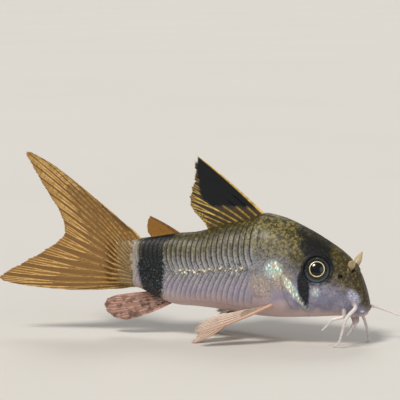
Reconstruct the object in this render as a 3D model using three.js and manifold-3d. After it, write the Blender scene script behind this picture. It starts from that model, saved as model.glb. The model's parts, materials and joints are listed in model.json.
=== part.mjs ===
// Panda corydoras, a small armoured catfish, life size and still.
// It props itself on its pelvic fins and feelers, nose down and tail cocked up.
// Millimetres: +X towards the nose, +Y towards the fish's left side, +Z up, floor at zero.
// The fish is modelled straight in a vertical plane, and bend() then gives it its slight curve.

import * as THREE from 'three';
import { mergeVertices } from 'three/addons/utils/BufferGeometryUtils.js';
import Module from 'manifold-3d';

const wasm = await Module();
wasm.setup();

const SIDEWAYS = new THREE.Vector3(0, 1, 0);

// Clearance that neighbouring pieces keep.
const GAP = 0.3;

// Curvature of the body seen from above, per millimetre, before and behind the bend's middle.
const BEND_HEAD = 0.005;
const BEND_TAIL = 0.006;

// Sections of the body from the nose back. at: place along the body; topX, topZ: the back line;
// lowX, lowZ: the belly line; half: half width; widest: share of the height at the widest point.
const SECTIONS = [
  { at: 18.2, topX: 17.95, topZ: 6.3, lowX: 17.75, lowZ: 5.3, half: 0.8, widest: 0.5 },
  { at: 17.5, topX: 17.6, topZ: 7.6, lowX: 17.2, lowZ: 4.85, half: 1.85, widest: 0.46 },
  { at: 16.6, topX: 17.1, topZ: 9.3, lowX: 16.3, lowZ: 4.6, half: 2.7, widest: 0.43 },
  { at: 15.5, topX: 16.4, topZ: 11.1, lowX: 15.1, lowZ: 4.5, half: 3.35, widest: 0.41 },
  { at: 14.2, topX: 15.2, topZ: 12.9, lowX: 13.8, lowZ: 4.5, half: 3.8, widest: 0.4 },
  { at: 12.6, topX: 13.4, topZ: 14.5, lowX: 12.3, lowZ: 4.4, half: 4.2, widest: 0.4 },
  { at: 10.8, topX: 11.2, topZ: 15.9, lowX: 10.7, lowZ: 4.25, half: 4.6, widest: 0.4 },
  { at: 8.6, topX: 8.7, topZ: 17.3, lowX: 8.6, lowZ: 4.1, half: 4.95, widest: 0.4 },
  { at: 6.2, topX: 6.2, topZ: 18.4, lowX: 6.2, lowZ: 3.95, half: 5.25, widest: 0.4 },
  { at: 3.6, topX: 3.6, topZ: 19.2, lowX: 3.6, lowZ: 3.85, half: 5.35, widest: 0.4 },
  { at: 1.2, topX: 1.2, topZ: 19.5, lowX: 1.2, lowZ: 3.95, half: 5.25, widest: 0.4 },
  { at: -1.5, topX: -1.5, topZ: 18.6, lowX: -1.5, lowZ: 4.2, half: 4.95, widest: 0.41 },
  { at: -5, topX: -5, topZ: 17.75, lowX: -5, lowZ: 4.65, half: 4.35, widest: 0.42 },
  { at: -8.9, topX: -8.9, topZ: 16.5, lowX: -8.9, lowZ: 4.95, half: 3.6, widest: 0.44 },
  { at: -12.5, topX: -12.5, topZ: 16.1, lowX: -12.5, lowZ: 5.15, half: 2.8, widest: 0.47 },
  { at: -15.5, topX: -15.5, topZ: 15.6, lowX: -15.5, lowZ: 6.2, half: 2.15, widest: 0.5 },
  { at: -18, topX: -18, topZ: 15.2, lowX: -18, lowZ: 7.4, half: 1.6, widest: 0.5 },
  { at: -20.6, topX: -20.6, topZ: 14.9, lowX: -20.6, lowZ: 8.0, half: 1.15, widest: 0.5 },
];

// How square the upper and lower halves of a section are: 2 is an ellipse.
const BACK_POWER = 1.85;
const BELLY_POWER = 2.7;
const AROUND = 36;

// The thin cuts that part the body, and how many rings its front parts have.
const NOSE = 18.2;
const HEAD_END = 5.0;
const HEAD_RINGS = 24;
const HEAD_CROWDING = 1.15;
const SHOULDER_RINGS = 4;
const TAIL_ROOT = -20.6;

// Flank plates: two rows a side that meet at the lateral line, each lapping over the next.
const PLATE_START = 0.9;
const PLATE_COUNT = 25;
const PLATE_PITCH_FRONT = 0.94;
const PLATE_PITCH_REAR = 0.68;
const PLATE_STEP = 0.16;
const PLATE_LIP = 0.05;
const TRUNK_PLATES = 15;
const LATERAL_LINE = 0.5;

// Slant of the plates' edges: forward on the back above a height share, a point at the lateral
// line, and back below it. The slant fades in over a length from the tail's cut.
const BACK_LEAN_FROM = 0.78;
const BACK_LEAN = 18;
const LINE_POINT = 0.55;
const LINE_POINT_WIDTH = 0.1;
const BELLY_SWEEP = 0.9;
const BELLY_SWEEP_SPAN = 0.4;
const TAIL_FADE = 4;

// The plates' relief fades out between these height shares, on the belly.
const BELLY_BARE = 0.04;
const BELLY_FULL = 0.2;

// Bony covers raised on the flank, by their middle in side view and their half sizes. The
// profile runs from the crown to the rim: share of the half size, share of the lift.
const GILL_COVER = { x: 7.05, z: 9.5, halfX: 1.6, halfZ: 3.9, slant: -0.17, lift: 0.24 };
const SHOULDER_PLATE = { x: 2.2, z: 10.2, halfX: 2.3, halfZ: 3.0, slant: 0.06, lift: 0.26 };
const CHEEK_PLATE = { x: 11.6, z: 7.6, halfX: 2.4, halfZ: 1.35, slant: 0.25, lift: 0.14 };
const COVER_ROOT = 0.5;
const COVER_SIDES = 18;
const COVER_PROFILE = [[0.55, 1.12], [0.93, 1], [1, 0.55]];

// Eye: a flattened ball seated deep in its socket, within a raised lid.
const EYE_X = 10.65;
const EYE_Z = 11.9;
const EYE_RADIUS = 2.1;
const EYE_DEPTH = 1.45;
const EYE_SUNK = 0.75;
const LID_RADIUS = 2.52;
const LID_THICK = 0.34;
const LID_STEPS = 22;
const LID_SIDES = 6;
const EYE_WIDE = 16;
const EYE_HIGH = 10;

// Nostrils: two a side, by place along the head and angle from the back line.
const FRONT_NOSTRIL = { at: 14.65, angle: 0.52, radius: 0.6 };
const REAR_NOSTRIL = { at: 13.6, angle: 1.02, radius: 0.5 };
const NOSTRIL_RIM = 0.17;
const NOSTRIL_DEPTH = 0.5;
const NOSTRIL_STEPS = 10;
const NOSTRIL_SIDES = 5;
const FLAP_WIDTH = 1.1;
const FLAP_ROWS = 4;
const FLAP_TAPER = 0.85;
const FLAP_ROUND = 0.12;
const FLAP_ROLL = 0.18;
const FLAP_ROOT_HALF = 0.27;

// Mouth: two lips that meet at the corners, with the mouth line between them.
const LIP_THICK = 0.44;
const UPPER_LIP = [[15.7, 2.55, 5.35], [16.9, 1.65, 4.8], [17.45, 0, 4.75]];
const LOWER_LIP = [[15.45, 2.4, 4.95], [15.95, 1.4, 4.35], [16.2, 0, 4.2]];
const MOUTH_LINE = [[15.7, 2.3, 4.85], [16.45, 1.4, 4.35], [16.8, 0, 4.25]];
const MOUTH_LINE_THICK = 0.2;
const LIP_CORNER = 0.55;
const LIP_STEPS = 12;
const LIP_SIDES = 8;

// Fins: half thicknesses of membrane at root and tip, and how far a ray stands above it.
const FIN_ROOT_HALF = 0.42;
const FIN_HALF = 0.25;
const FIN_TIP_HALF = 0.16;
const RAY_HEIGHT = 0.09;
const FIN_ROOT_SHARE = 0.3;
const NOTCH = 0.97;
const FIN_SEAT = GAP + 0.5 * PLATE_STEP;

// Feelers.
const FEELER_ROOT = 0.42;
const FEELER_TIP = 0.16;
const FEELER_SIDES = 8;
const FEELER_STEPS = 8;

const SKIN_MOTTLED = 0x8b8270;
const SKIN_SILVER = 0xa59aa2;
const SKIN_DARK = 0x2b2e33;
const FIN_AMBER = 0xb08f5c;
const FIN_PALE = 0xd8cfc6;
const FIN_BLOTCH = 0x2c2823;
const EYE_BLACK = 0x0d0d0f;
const FEELER_PALE = 0xe0d4c8;

// Returns a smooth function of at through one column of rows that run from high to low.
function smoothColumn(rows, column) {
  const last = rows.length - 1;
  const slopes = rows.map((row, i) => {
    const before = rows[Math.max(i - 1, 0)];
    const after = rows[Math.min(i + 1, last)];
    return (after[column] - before[column]) / (after.at - before.at);
  });
  return (at) => {
    let i = 0;
    while (i < last - 1 && at < rows[i + 1].at) {
      i += 1;
    }
    const span = rows[i + 1].at - rows[i].at;
    const t = THREE.MathUtils.clamp((at - rows[i].at) / span, 0, 1);
    const t2 = t * t;
    const t3 = t2 * t;
    return (2 * t3 - 3 * t2 + 1) * rows[i][column]
      + (t3 - 2 * t2 + t) * span * slopes[i]
      + (3 * t2 - 2 * t3) * rows[i + 1][column]
      + (t3 - t2) * span * slopes[i + 1];
  };
}

const topX = smoothColumn(SECTIONS, 'topX');
const topZ = smoothColumn(SECTIONS, 'topZ');
const lowX = smoothColumn(SECTIONS, 'lowX');
const lowZ = smoothColumn(SECTIONS, 'lowZ');
const halfWidth = smoothColumn(SECTIONS, 'half');
const widest = smoothColumn(SECTIONS, 'widest');

// Height share of a section at an angle from the back line: 1 on the back, 0 on the belly.
function heightShare(at, angle) {
  const c = Math.cos(angle);
  const w = widest(at);
  if (c >= 0) {
    return w + (1 - w) * c ** (2 / BACK_POWER);
  }
  return w * (1 - (-c) ** (2 / BELLY_POWER));
}

// Point of the skin at a place along the body and an angle from the back line, left side first.
function skinPoint(at, angle) {
  const share = heightShare(at, angle);
  const s = Math.sin(angle);
  const power = Math.cos(angle) >= 0 ? BACK_POWER : BELLY_POWER;
  const y = halfWidth(at) * Math.sign(s) * Math.abs(s) ** (2 / power);
  return new THREE.Vector3(
    THREE.MathUtils.lerp(lowX(at), topX(at), share),
    y,
    THREE.MathUtils.lerp(lowZ(at), topZ(at), share),
  );
}

function skinNormal(at, angle) {
  const step = 0.01;
  const along = skinPoint(at - step, angle).sub(skinPoint(at + step, angle));
  const round = skinPoint(at, angle + step).sub(skinPoint(at, angle - step));
  return round.cross(along).normalize();
}

function raisedSkin(at, angle, lift) {
  return skinPoint(at, angle).addScaledVector(skinNormal(at, angle), lift);
}

// Point of the flank seen at x and z from the side, on the left (side 1) or right (side -1).
function flankPoint(x, z, side, lift = 0) {
  let at = x;
  let share = 0.5;
  for (let i = 0; i < 30; i += 1) {
    share = (z - lowZ(at)) / (topZ(at) - lowZ(at));
    at += x - THREE.MathUtils.lerp(lowX(at), topX(at), share);
  }
  const w = widest(at);
  const upper = share >= w;
  const reach = Math.min(upper ? (share - w) / (1 - w) : (w - share) / w, 1);
  const power = upper ? BACK_POWER : BELLY_POWER;
  const c = reach ** (power / 2) * (upper ? 1 : -1);
  return raisedSkin(at, side * Math.acos(c), lift);
}

function bend(v) {
  const curvature = v.x > 0 ? BEND_HEAD : BEND_TAIL;
  const turn = curvature * v.x;
  return new THREE.Vector3(
    Math.sin(turn) / curvature + v.y * Math.sin(turn),
    -(1 - Math.cos(turn)) / curvature + v.y * Math.cos(turn),
    v.z,
  );
}

// Closed geometry from points and triangles, turned the right way out.
function closedGeometry(points, triangles) {
  let volume = 0;
  const cross = new THREE.Vector3();
  for (const [a, b, c] of triangles) {
    volume += cross.crossVectors(points[b], points[c]).dot(points[a]);
  }
  const outward = volume >= 0 ? triangles : triangles.map(([a, b, c]) => [a, c, b]);
  const geometry = new THREE.BufferGeometry();
  const flat = points.flatMap((p) => [p.x, p.y, p.z]);
  geometry.setAttribute('position', new THREE.Float32BufferAttribute(flat, 3));
  geometry.setIndex(outward.flat());
  return geometry;
}

// Closed skin over a row of rings of equal length, each end closed by a fan.
function loft(rings) {
  const count = rings[0].length;
  const points = rings.flat();
  const triangles = [];
  for (let i = 0; i < rings.length - 1; i += 1) {
    for (let j = 0; j < count; j += 1) {
      const k = (j + 1) % count;
      const a = i * count + j;
      const b = i * count + k;
      const c = a + count;
      const d = b + count;
      triangles.push([a, b, d]);
      triangles.push([a, d, c]);
    }
  }
  for (const end of [0, rings.length - 1]) {
    const centre = rings[end].reduce((sum, p) => sum.add(p), new THREE.Vector3()).divideScalar(count);
    const index = points.length;
    points.push(centre);
    for (let j = 0; j < count; j += 1) {
      const a = end * count + j;
      const b = end * count + ((j + 1) % count);
      triangles.push(end === 0 ? [index, b, a] : [index, a, b]);
    }
  }
  return closedGeometry(points, triangles);
}

// Thin closed plate over a grid of columns and rows, cut into triangles alike on both faces.
function membrane(columns, rows, middle, across, half) {
  const points = [];
  const triangles = [];
  for (const face of [1, -1]) {
    for (let c = 0; c <= columns; c += 1) {
      for (let r = 0; r <= rows; r += 1) {
        points.push(middle(c, r).addScaledVector(across(c, r), face * half(c, r)));
      }
    }
  }
  const index = (face, c, r) => (face * (columns + 1) + c) * (rows + 1) + r;
  for (let c = 0; c < columns; c += 1) {
    for (let r = 0; r < rows; r += 1) {
      for (const face of [0, 1]) {
        const first = index(face, c, r);
        const beside = index(face, c + 1, r);
        const above = index(face, c, r + 1);
        const opposite = index(face, c + 1, r + 1);
        if (face === 0) {
          triangles.push([first, beside, opposite]);
          triangles.push([first, opposite, above]);
        } else {
          triangles.push([first, opposite, beside]);
          triangles.push([first, above, opposite]);
        }
      }
    }
  }
  const border = [];
  for (let c = 0; c < columns; c += 1) {
    border.push([c, 0]);
  }
  for (let r = 0; r < rows; r += 1) {
    border.push([columns, r]);
  }
  for (let c = columns; c > 0; c -= 1) {
    border.push([c, rows]);
  }
  for (let r = rows; r > 0; r -= 1) {
    border.push([0, r]);
  }
  border.forEach(([c, r], i) => {
    const [nextC, nextR] = border[(i + 1) % border.length];
    const a = index(0, c, r);
    const b = index(0, nextC, nextR);
    const d = index(1, c, r);
    const e = index(1, nextC, nextR);
    triangles.push([a, d, e]);
    triangles.push([a, e, b]);
  });
  return closedGeometry(points, triangles);
}

// Tapered tube along a curve, its ends closed by fans.
function taperedTube(curve, steps, sides, radiusAt) {
  const frames = curve.computeFrenetFrames(steps, false);
  const rings = [];
  for (let i = 0; i <= steps; i += 1) {
    const centre = curve.getPointAt(i / steps);
    const radius = radiusAt(i / steps);
    const ring = [];
    for (let j = 0; j < sides; j += 1) {
      const angle = (j / sides) * Math.PI * 2;
      ring.push(centre.clone()
        .addScaledVector(frames.normals[i], Math.cos(angle) * radius)
        .addScaledVector(frames.binormals[i], Math.sin(angle) * radius));
    }
    rings.push(ring);
  }
  return loft(rings);
}

// Closed tube round a loop of points, each with the direction it stands out in.
function loopTube(points, outs, radius, sides) {
  const count = points.length;
  const vertices = [];
  const triangles = [];
  for (let i = 0; i < count; i += 1) {
    const tangent = points[(i + 1) % count].clone().sub(points[(i + count - 1) % count]).normalize();
    const across = new THREE.Vector3().crossVectors(tangent, outs[i]).normalize();
    for (let j = 0; j < sides; j += 1) {
      const angle = (j / sides) * Math.PI * 2;
      vertices.push(points[i].clone()
        .addScaledVector(outs[i], Math.cos(angle) * radius)
        .addScaledVector(across, Math.sin(angle) * radius));
      const next = (i + 1) % count;
      const k = (j + 1) % sides;
      triangles.push([i * sides + j, next * sides + j, next * sides + k]);
      triangles.push([i * sides + j, next * sides + k, i * sides + k]);
    }
  }
  return closedGeometry(vertices, triangles);
}

// Bony plate raised on the flank: an oval in side view, crowned, its root sunk in the body.
function flankPlate({ x, z, halfX, halfZ, slant, lift }, side) {
  const oval = (reach, height) => {
    const ring = [];
    for (let j = 0; j < COVER_SIDES; j += 1) {
      const angle = (j / COVER_SIDES) * Math.PI * 2;
      const dz = halfZ * Math.sin(angle) * reach;
      const dx = halfX * Math.cos(angle) * reach + slant * dz;
      ring.push(flankPoint(x + dx, z + dz, side, height));
    }
    return ring;
  };
  const rings = COVER_PROFILE.map(([reach, height]) => oval(reach, height * lift));
  return loft([...rings, oval(1, -COVER_ROOT)]);
}

function toSolid(geometry) {
  const bare = geometry.clone();
  bare.deleteAttribute('normal');
  bare.deleteAttribute('uv');
  const merged = mergeVertices(bare);
  return new wasm.Manifold(new wasm.Mesh({
    numProp: 3,
    vertProperties: new Float32Array(merged.attributes.position.array),
    triVerts: new Uint32Array(merged.index.array),
  }));
}

// Geometry of a solid's largest closed surface.
function toGeometry(solid) {
  const largest = solid.decompose().sort((a, b) => b.volume() - a.volume())[0];
  const { numProp, vertProperties, triVerts } = largest.getMesh();
  const positions = [];
  for (let i = 0; i < vertProperties.length; i += numProp) {
    positions.push(vertProperties[i], vertProperties[i + 1], vertProperties[i + 2]);
  }
  const geometry = new THREE.BufferGeometry();
  geometry.setAttribute('position', new THREE.Float32BufferAttribute(positions, 3));
  geometry.setIndex([...triVerts]);
  return geometry;
}

const fish = new THREE.Group();

function addNode(name, geometry, color, roughness = 0.45, metalness = 0) {
  const position = geometry.attributes.position;
  const v = new THREE.Vector3();
  for (let i = 0; i < position.count; i += 1) {
    v.fromBufferAttribute(position, i);
    position.setXYZ(i, ...bend(v).toArray());
  }
  geometry.computeVertexNormals();
  const mesh = new THREE.Mesh(geometry, new THREE.MeshStandardMaterial({ color, roughness, metalness }));
  mesh.name = name;
  fish.add(mesh);
}

// Mirrors a geometry made on the left side over to the right.
function mirrored(geometry) {
  const copy = geometry.clone();
  const position = copy.attributes.position;
  for (let i = 0; i < position.count; i += 1) {
    position.setY(i, -position.getY(i));
  }
  const order = [...copy.index.array];
  for (let i = 0; i < order.length; i += 3) {
    [order[i + 1], order[i + 2]] = [order[i + 2], order[i + 1]];
  }
  copy.setIndex(order);
  return copy;
}

// How far a plate's edge lies forward at a height share: it leans forward on the back,
// points to the head at the lateral line and sweeps back below it.
function plateSweep(share) {
  const nearBack = BACK_LEAN * Math.max(share - BACK_LEAN_FROM, 0) ** 2;
  const point = LINE_POINT * Math.exp(-(((share - LATERAL_LINE) / LINE_POINT_WIDTH) ** 2));
  const belowLine = THREE.MathUtils.smoothstep(LATERAL_LINE - share, 0, BELLY_SWEEP_SPAN);
  return nearBack + point - BELLY_SWEEP * belowLine;
}

// Share of the sweep that a ring has: none at the two straight cuts.
function sweepAmount(at) {
  const shoulder = 1 - THREE.MathUtils.smoothstep(at, PLATE_START, HEAD_END - GAP);
  const tail = THREE.MathUtils.smoothstep(at, TAIL_ROOT, TAIL_ROOT + TAIL_FADE);
  return shoulder * tail;
}

function skinRing(at, lift) {
  const ring = [];
  for (let j = 0; j < AROUND; j += 1) {
    const angle = (j / AROUND) * Math.PI * 2;
    const share = heightShare(at, angle);
    const raise = lift * THREE.MathUtils.smoothstep(share, BELLY_BARE, BELLY_FULL);
    ring.push(raisedSkin(at + sweepAmount(at) * plateSweep(share), angle, raise));
  }
  return ring;
}

// Front edges of the flank plates, from the shoulder to the tail.
const plateEdges = [PLATE_START];
for (let i = 0; i < PLATE_COUNT; i += 1) {
  const pitch = THREE.MathUtils.lerp(PLATE_PITCH_FRONT, PLATE_PITCH_REAR, i / PLATE_COUNT);
  plateEdges.push(plateEdges[i] - pitch);
}

// Rings over plates first to last, each plate rising to its free rear edge.
function plateRings(first, last) {
  const rings = [];
  for (let i = first; i < last; i += 1) {
    rings.push(skinRing(plateEdges[i] - PLATE_LIP, 0));
    rings.push(skinRing(plateEdges[i + 1] + PLATE_LIP, PLATE_STEP));
  }
  return rings;
}

function buildHead() {
  const rings = [];
  for (let i = 0; i <= HEAD_RINGS; i += 1) {
    const t = (i / HEAD_RINGS) ** HEAD_CROWDING;
    rings.push(skinRing(THREE.MathUtils.lerp(NOSE, HEAD_END, t), 0));
  }
  let solid = toSolid(loft(rings));
  solid = solid.add(toSolid(lip(UPPER_LIP, LIP_THICK))).add(toSolid(lip(LOWER_LIP, LIP_THICK)));
  solid = solid.subtract(toSolid(lip(MOUTH_LINE, MOUTH_LINE_THICK)));
  for (const side of [1, -1]) {
    solid = solid.add(toSolid(flankPlate(GILL_COVER, side)));
    solid = solid.add(toSolid(flankPlate(CHEEK_PLATE, side)));
    solid = solid.add(toSolid(lidRing(side)));
    solid = solid.subtract(toSolid(eyeBall(side, GAP)));
    for (const nostril of [FRONT_NOSTRIL, REAR_NOSTRIL]) {
      solid = solid.add(toSolid(nostrilRim(nostril, side)));
      solid = solid.subtract(toSolid(nostrilPit(nostril, side)));
    }
  }
  addNode('head', toGeometry(solid), SKIN_MOTTLED, 0.4);
}

// Lip or line of the mouth: half its curve is given, and the other half mirrors it.
function lip(half, thick) {
  const left = half.map((p) => new THREE.Vector3(...p));
  const right = half.slice(0, -1).reverse().map(([x, y, z]) => new THREE.Vector3(x, -y, z));
  const curve = new THREE.CatmullRomCurve3([...left, ...right]);
  const radius = (t) => thick * THREE.MathUtils.lerp(LIP_CORNER, 1, Math.sin(Math.PI * t));
  return taperedTube(curve, LIP_STEPS, LIP_SIDES, radius);
}

function lidRing(side) {
  const points = [];
  const outs = [];
  for (let i = 0; i < LID_STEPS; i += 1) {
    const angle = (i / LID_STEPS) * Math.PI * 2;
    const x = EYE_X + LID_RADIUS * Math.cos(angle);
    const z = EYE_Z + LID_RADIUS * Math.sin(angle);
    const foot = flankPoint(x, z, side);
    outs.push(flankPoint(x, z, side, 1).sub(foot));
    points.push(foot);
  }
  return loopTube(points, outs, LID_THICK, LID_SIDES);
}

function nostrilRim({ at, angle, radius }, side) {
  const centre = skinPoint(at, side * angle);
  const out = skinNormal(at, side * angle);
  const first = SIDEWAYS.clone().cross(out).normalize();
  const second = new THREE.Vector3().crossVectors(out, first);
  const points = [];
  for (let i = 0; i < NOSTRIL_STEPS; i += 1) {
    const turn = (i / NOSTRIL_STEPS) * Math.PI * 2;
    points.push(centre.clone()
      .addScaledVector(first, radius * Math.cos(turn))
      .addScaledVector(second, radius * Math.sin(turn)));
  }
  return loopTube(points, points.map(() => out), NOSTRIL_RIM, NOSTRIL_SIDES);
}

function nostrilPit({ at, angle, radius }, side) {
  const pit = mergeVertices(bareSphere(8, NOSTRIL_SIDES));
  pit.scale(radius - NOSTRIL_RIM, NOSTRIL_DEPTH, radius - NOSTRIL_RIM);
  const out = skinNormal(at, side * angle);
  pit.applyQuaternion(new THREE.Quaternion().setFromUnitVectors(SIDEWAYS, out));
  const centre = skinPoint(at, side * angle);
  pit.translate(centre.x, centre.y, centre.z);
  return pit;
}

function buildTrunk() {
  const shoulder = [];
  for (let i = 0; i < SHOULDER_RINGS; i += 1) {
    const at = THREE.MathUtils.lerp(HEAD_END - GAP, PLATE_START, i / SHOULDER_RINGS);
    shoulder.push(skinRing(at, 0));
  }
  let solid = toSolid(loft([...shoulder, ...plateRings(0, TRUNK_PLATES)]));
  for (const side of [1, -1]) {
    solid = solid.add(toSolid(flankPlate(SHOULDER_PLATE, side)));
  }
  addNode('trunk', toGeometry(solid), SKIN_SILVER, 0.35);
}

function buildTailStalk() {
  const edge = plateEdges[TRUNK_PLATES];
  const rings = plateRings(TRUNK_PLATES, PLATE_COUNT);
  rings[0] = skinRing(edge - GAP, 0);
  rings.push(skinRing(plateEdges[PLATE_COUNT] - PLATE_LIP, 0));
  rings.push(skinRing(TAIL_ROOT, 0));
  addNode('tail_stalk', loft(rings), SKIN_DARK, 0.4);
}

// Flattened ball on the left or right side, grown all round by a margin.
function eyeBall(side, margin) {
  const centre = flankPoint(EYE_X, EYE_Z, side, -EYE_SUNK);
  const outward = flankPoint(EYE_X, EYE_Z, side, 1).sub(flankPoint(EYE_X, EYE_Z, side)).normalize();
  const geometry = mergeVertices(bareSphere(EYE_WIDE, EYE_HIGH));
  geometry.scale(EYE_RADIUS + margin, EYE_DEPTH + margin, EYE_RADIUS + margin);
  geometry.applyQuaternion(new THREE.Quaternion().setFromUnitVectors(SIDEWAYS, outward));
  geometry.translate(centre.x, centre.y, centre.z);
  return geometry;
}

function bareSphere(wide, high) {
  const sphere = new THREE.SphereGeometry(1, wide, high);
  sphere.deleteAttribute('normal');
  sphere.deleteAttribute('uv');
  return sphere;
}

function buildEyes() {
  addNode('eye_l', eyeBall(1, 0), EYE_BLACK, 0.08);
  addNode('eye_r', eyeBall(-1, 0), EYE_BLACK, 0.08);
}

// Quadratic arc from root to tip that bows by bow, in the plane of x and z.
function bowedPoint(root, tip, bow, t) {
  return new THREE.Vector3().lerpVectors(root, tip, t).addScaledVector(bow, 4 * t * (1 - t));
}

function alongLine(points, t) {
  const place = t * (points.length - 1);
  const i = Math.min(Math.floor(place), points.length - 2);
  return new THREE.Vector3().lerpVectors(points[i], points[i + 1], place - i);
}

function alongSpline(points, t) {
  return new THREE.CatmullRomCurve3(points).getPoint(t);
}

// Fan-shaped fin with raised rays: two columns a ray, a ridge and then a trough. The first ray
// is thicker by spine, and curl moves a point of the fin's middle to its final place.
function rayFin({ rays, rows, roots, tips, bow, across, rootHalf, spine = 0, curl }) {
  const columns = 2 * (rays - 1);
  const middle = (c, r) => {
    const share = c / columns;
    const t = r / rows;
    const notch = c % 2 === 1 ? NOTCH : 1;
    const root = roots(share);
    const tip = root.clone().lerp(tips(share), notch);
    const point = bowedPoint(root, tip, bow(share), t);
    return curl ? curl(point, share, t) : point;
  };
  const half = (c, r) => {
    const t = r / rows;
    const flat = t < FIN_ROOT_SHARE
      ? THREE.MathUtils.lerp(rootHalf, FIN_HALF, t / FIN_ROOT_SHARE)
      : THREE.MathUtils.lerp(FIN_HALF, FIN_TIP_HALF, (t - FIN_ROOT_SHARE) / (1 - FIN_ROOT_SHARE));
    const ridge = c % 2 === 0 ? RAY_HEIGHT * (1 - 0.6 * t) : 0;
    const thickSpine = c === 0 ? spine * (1 - t) : 0;
    return flat + ridge + thickSpine;
  };
  return membrane(columns, rows, middle, across, half);
}

const sideways = () => SIDEWAYS;

function flatPoint(x, z) {
  return new THREE.Vector3(x, 0, z);
}

function buildDorsalFin() {
  const front = 1.1;
  const rear = -7.3;
  const margin = [
    flatPoint(-9.3, 28.3), flatPoint(-9.75, 27.0), flatPoint(-9.7, 25.2), flatPoint(-10.1, 23.4),
    flatPoint(-10.4, 21.9), flatPoint(-10.3, 20.6), flatPoint(-9.6, 19.5), flatPoint(-8.7, 18.6),
    flatPoint(-8.0, 17.9),
  ];
  const roots = (s) => {
    const x = THREE.MathUtils.lerp(front, rear, s);
    return flatPoint(x, topZ(x) + FIN_SEAT);
  };
  const geometry = rayFin({
    rays: 9,
    rows: 7,
    roots,
    tips: (s) => alongSpline(margin, s),
    bow: (s) => flatPoint(0.1 * (1 - s), 0.2 * (1 - s)),
    across: sideways,
    rootHalf: FIN_ROOT_HALF,
    spine: 0.12,
  });
  addNode('dorsal_fin', geometry, FIN_BLOTCH, 0.5);
}

function buildAdiposeFin() {
  const front = -12.2;
  const rear = -16.3;
  const margin = [
    flatPoint(-16.6, 18.75), flatPoint(-16.9, 18.1), flatPoint(-17.0, 17.2), flatPoint(-16.9, 16.3),
  ];
  const geometry = rayFin({
    rays: 4,
    rows: 4,
    roots: (s) => {
      const x = THREE.MathUtils.lerp(front, rear, s);
      return flatPoint(x, topZ(x) + FIN_SEAT);
    },
    tips: (s) => alongSpline(margin, s),
    bow: (s) => flatPoint(0, 0.12 * (1 - s)),
    across: sideways,
    rootHalf: 0.34,
    spine: 0.1,
  });
  addNode('adipose_fin', geometry, FIN_AMBER, 0.5);
}

function buildAnalFin() {
  const front = -13.2;
  const rear = -16.8;
  const margin = [
    flatPoint(-20.6, 2.3), flatPoint(-22.3, 2.7), flatPoint(-23.5, 3.6), flatPoint(-23.9, 4.7),
    flatPoint(-23.4, 5.6), flatPoint(-21.9, 6.2), flatPoint(-19.4, 6.6),
  ];
  const geometry = rayFin({
    rays: 7,
    rows: 5,
    roots: (s) => {
      const x = THREE.MathUtils.lerp(front, rear, s);
      return flatPoint(x, lowZ(x) - FIN_SEAT);
    },
    tips: (s) => alongSpline(margin, s),
    bow: (s) => flatPoint(-0.1, -0.35 * (1 - s)),
    across: sideways,
    rootHalf: 0.34,
    spine: 0.05,
  });
  addNode('anal_fin', geometry, FIN_PALE, 0.5);
}

function buildCaudalFin() {
  const faceX = TAIL_ROOT - GAP;
  const high = topZ(TAIL_ROOT);
  const low = lowZ(TAIL_ROOT);
  const onFace = [0.05, 0.18, 0.32, 0.45, 0.55, 0.68, 0.82, 0.95]
    .map((share) => flatPoint(faceX, THREE.MathUtils.lerp(high, low, share)));
  const rootLine = [
    ...[-18.2, -19.4, -20.5].map((x) => flatPoint(x, topZ(x) + FIN_SEAT)),
    ...onFace,
    ...[-20.5, -19.6].map((x) => flatPoint(x, lowZ(x) - FIN_SEAT)),
  ];
  const margin = [
    flatPoint(-20.2, 17.3), flatPoint(-26.0, 22.3), flatPoint(-32.3, 27.1), flatPoint(-35.9, 28.7),
    flatPoint(-34.7, 26.1), flatPoint(-32.6, 22.4), flatPoint(-30.6, 18.9),
    flatPoint(-30.1, 15.8), flatPoint(-33.0, 13.3), flatPoint(-37.0, 11.0),
    flatPoint(-40.4, 8.7), flatPoint(-31.5, 7.0), flatPoint(-23.6, 7.3),
  ];
  const geometry = rayFin({
    rays: 19,
    rows: 8,
    roots: (s) => alongLine(rootLine, s),
    tips: (s) => alongSpline(margin, s),
    bow: (s) => {
      const upper = Math.max(0, 1 - 3 * Math.abs(s - 0.25));
      const lower = Math.max(0, 1 - 3 * Math.abs(s - 0.83));
      return flatPoint(0, 0.7 * upper - 0.45 * lower);
    },
    across: sideways,
    rootHalf: 0.7,
    curl: (point, s, t) => {
      point.y = -0.9 * (1 - s) * t * t + 0.7 * s * t * t;
      return point;
    },
  });
  addNode('caudal_fin', geometry, FIN_AMBER, 0.5);
}

// Cuts away what would reach under the floor, which leaves a small flat to rest on.
function restOnFloor(geometry) {
  const thick = 10;
  const slab = new THREE.BoxGeometry(100, 60, thick);
  slab.translate(0, 0, -0.5 * thick);
  return toGeometry(toSolid(geometry).subtract(toSolid(slab)));
}

function spanNormal(a, b, c) {
  return new THREE.Vector3().crossVectors(b.clone().sub(a), c.clone().sub(a)).normalize();
}

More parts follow.
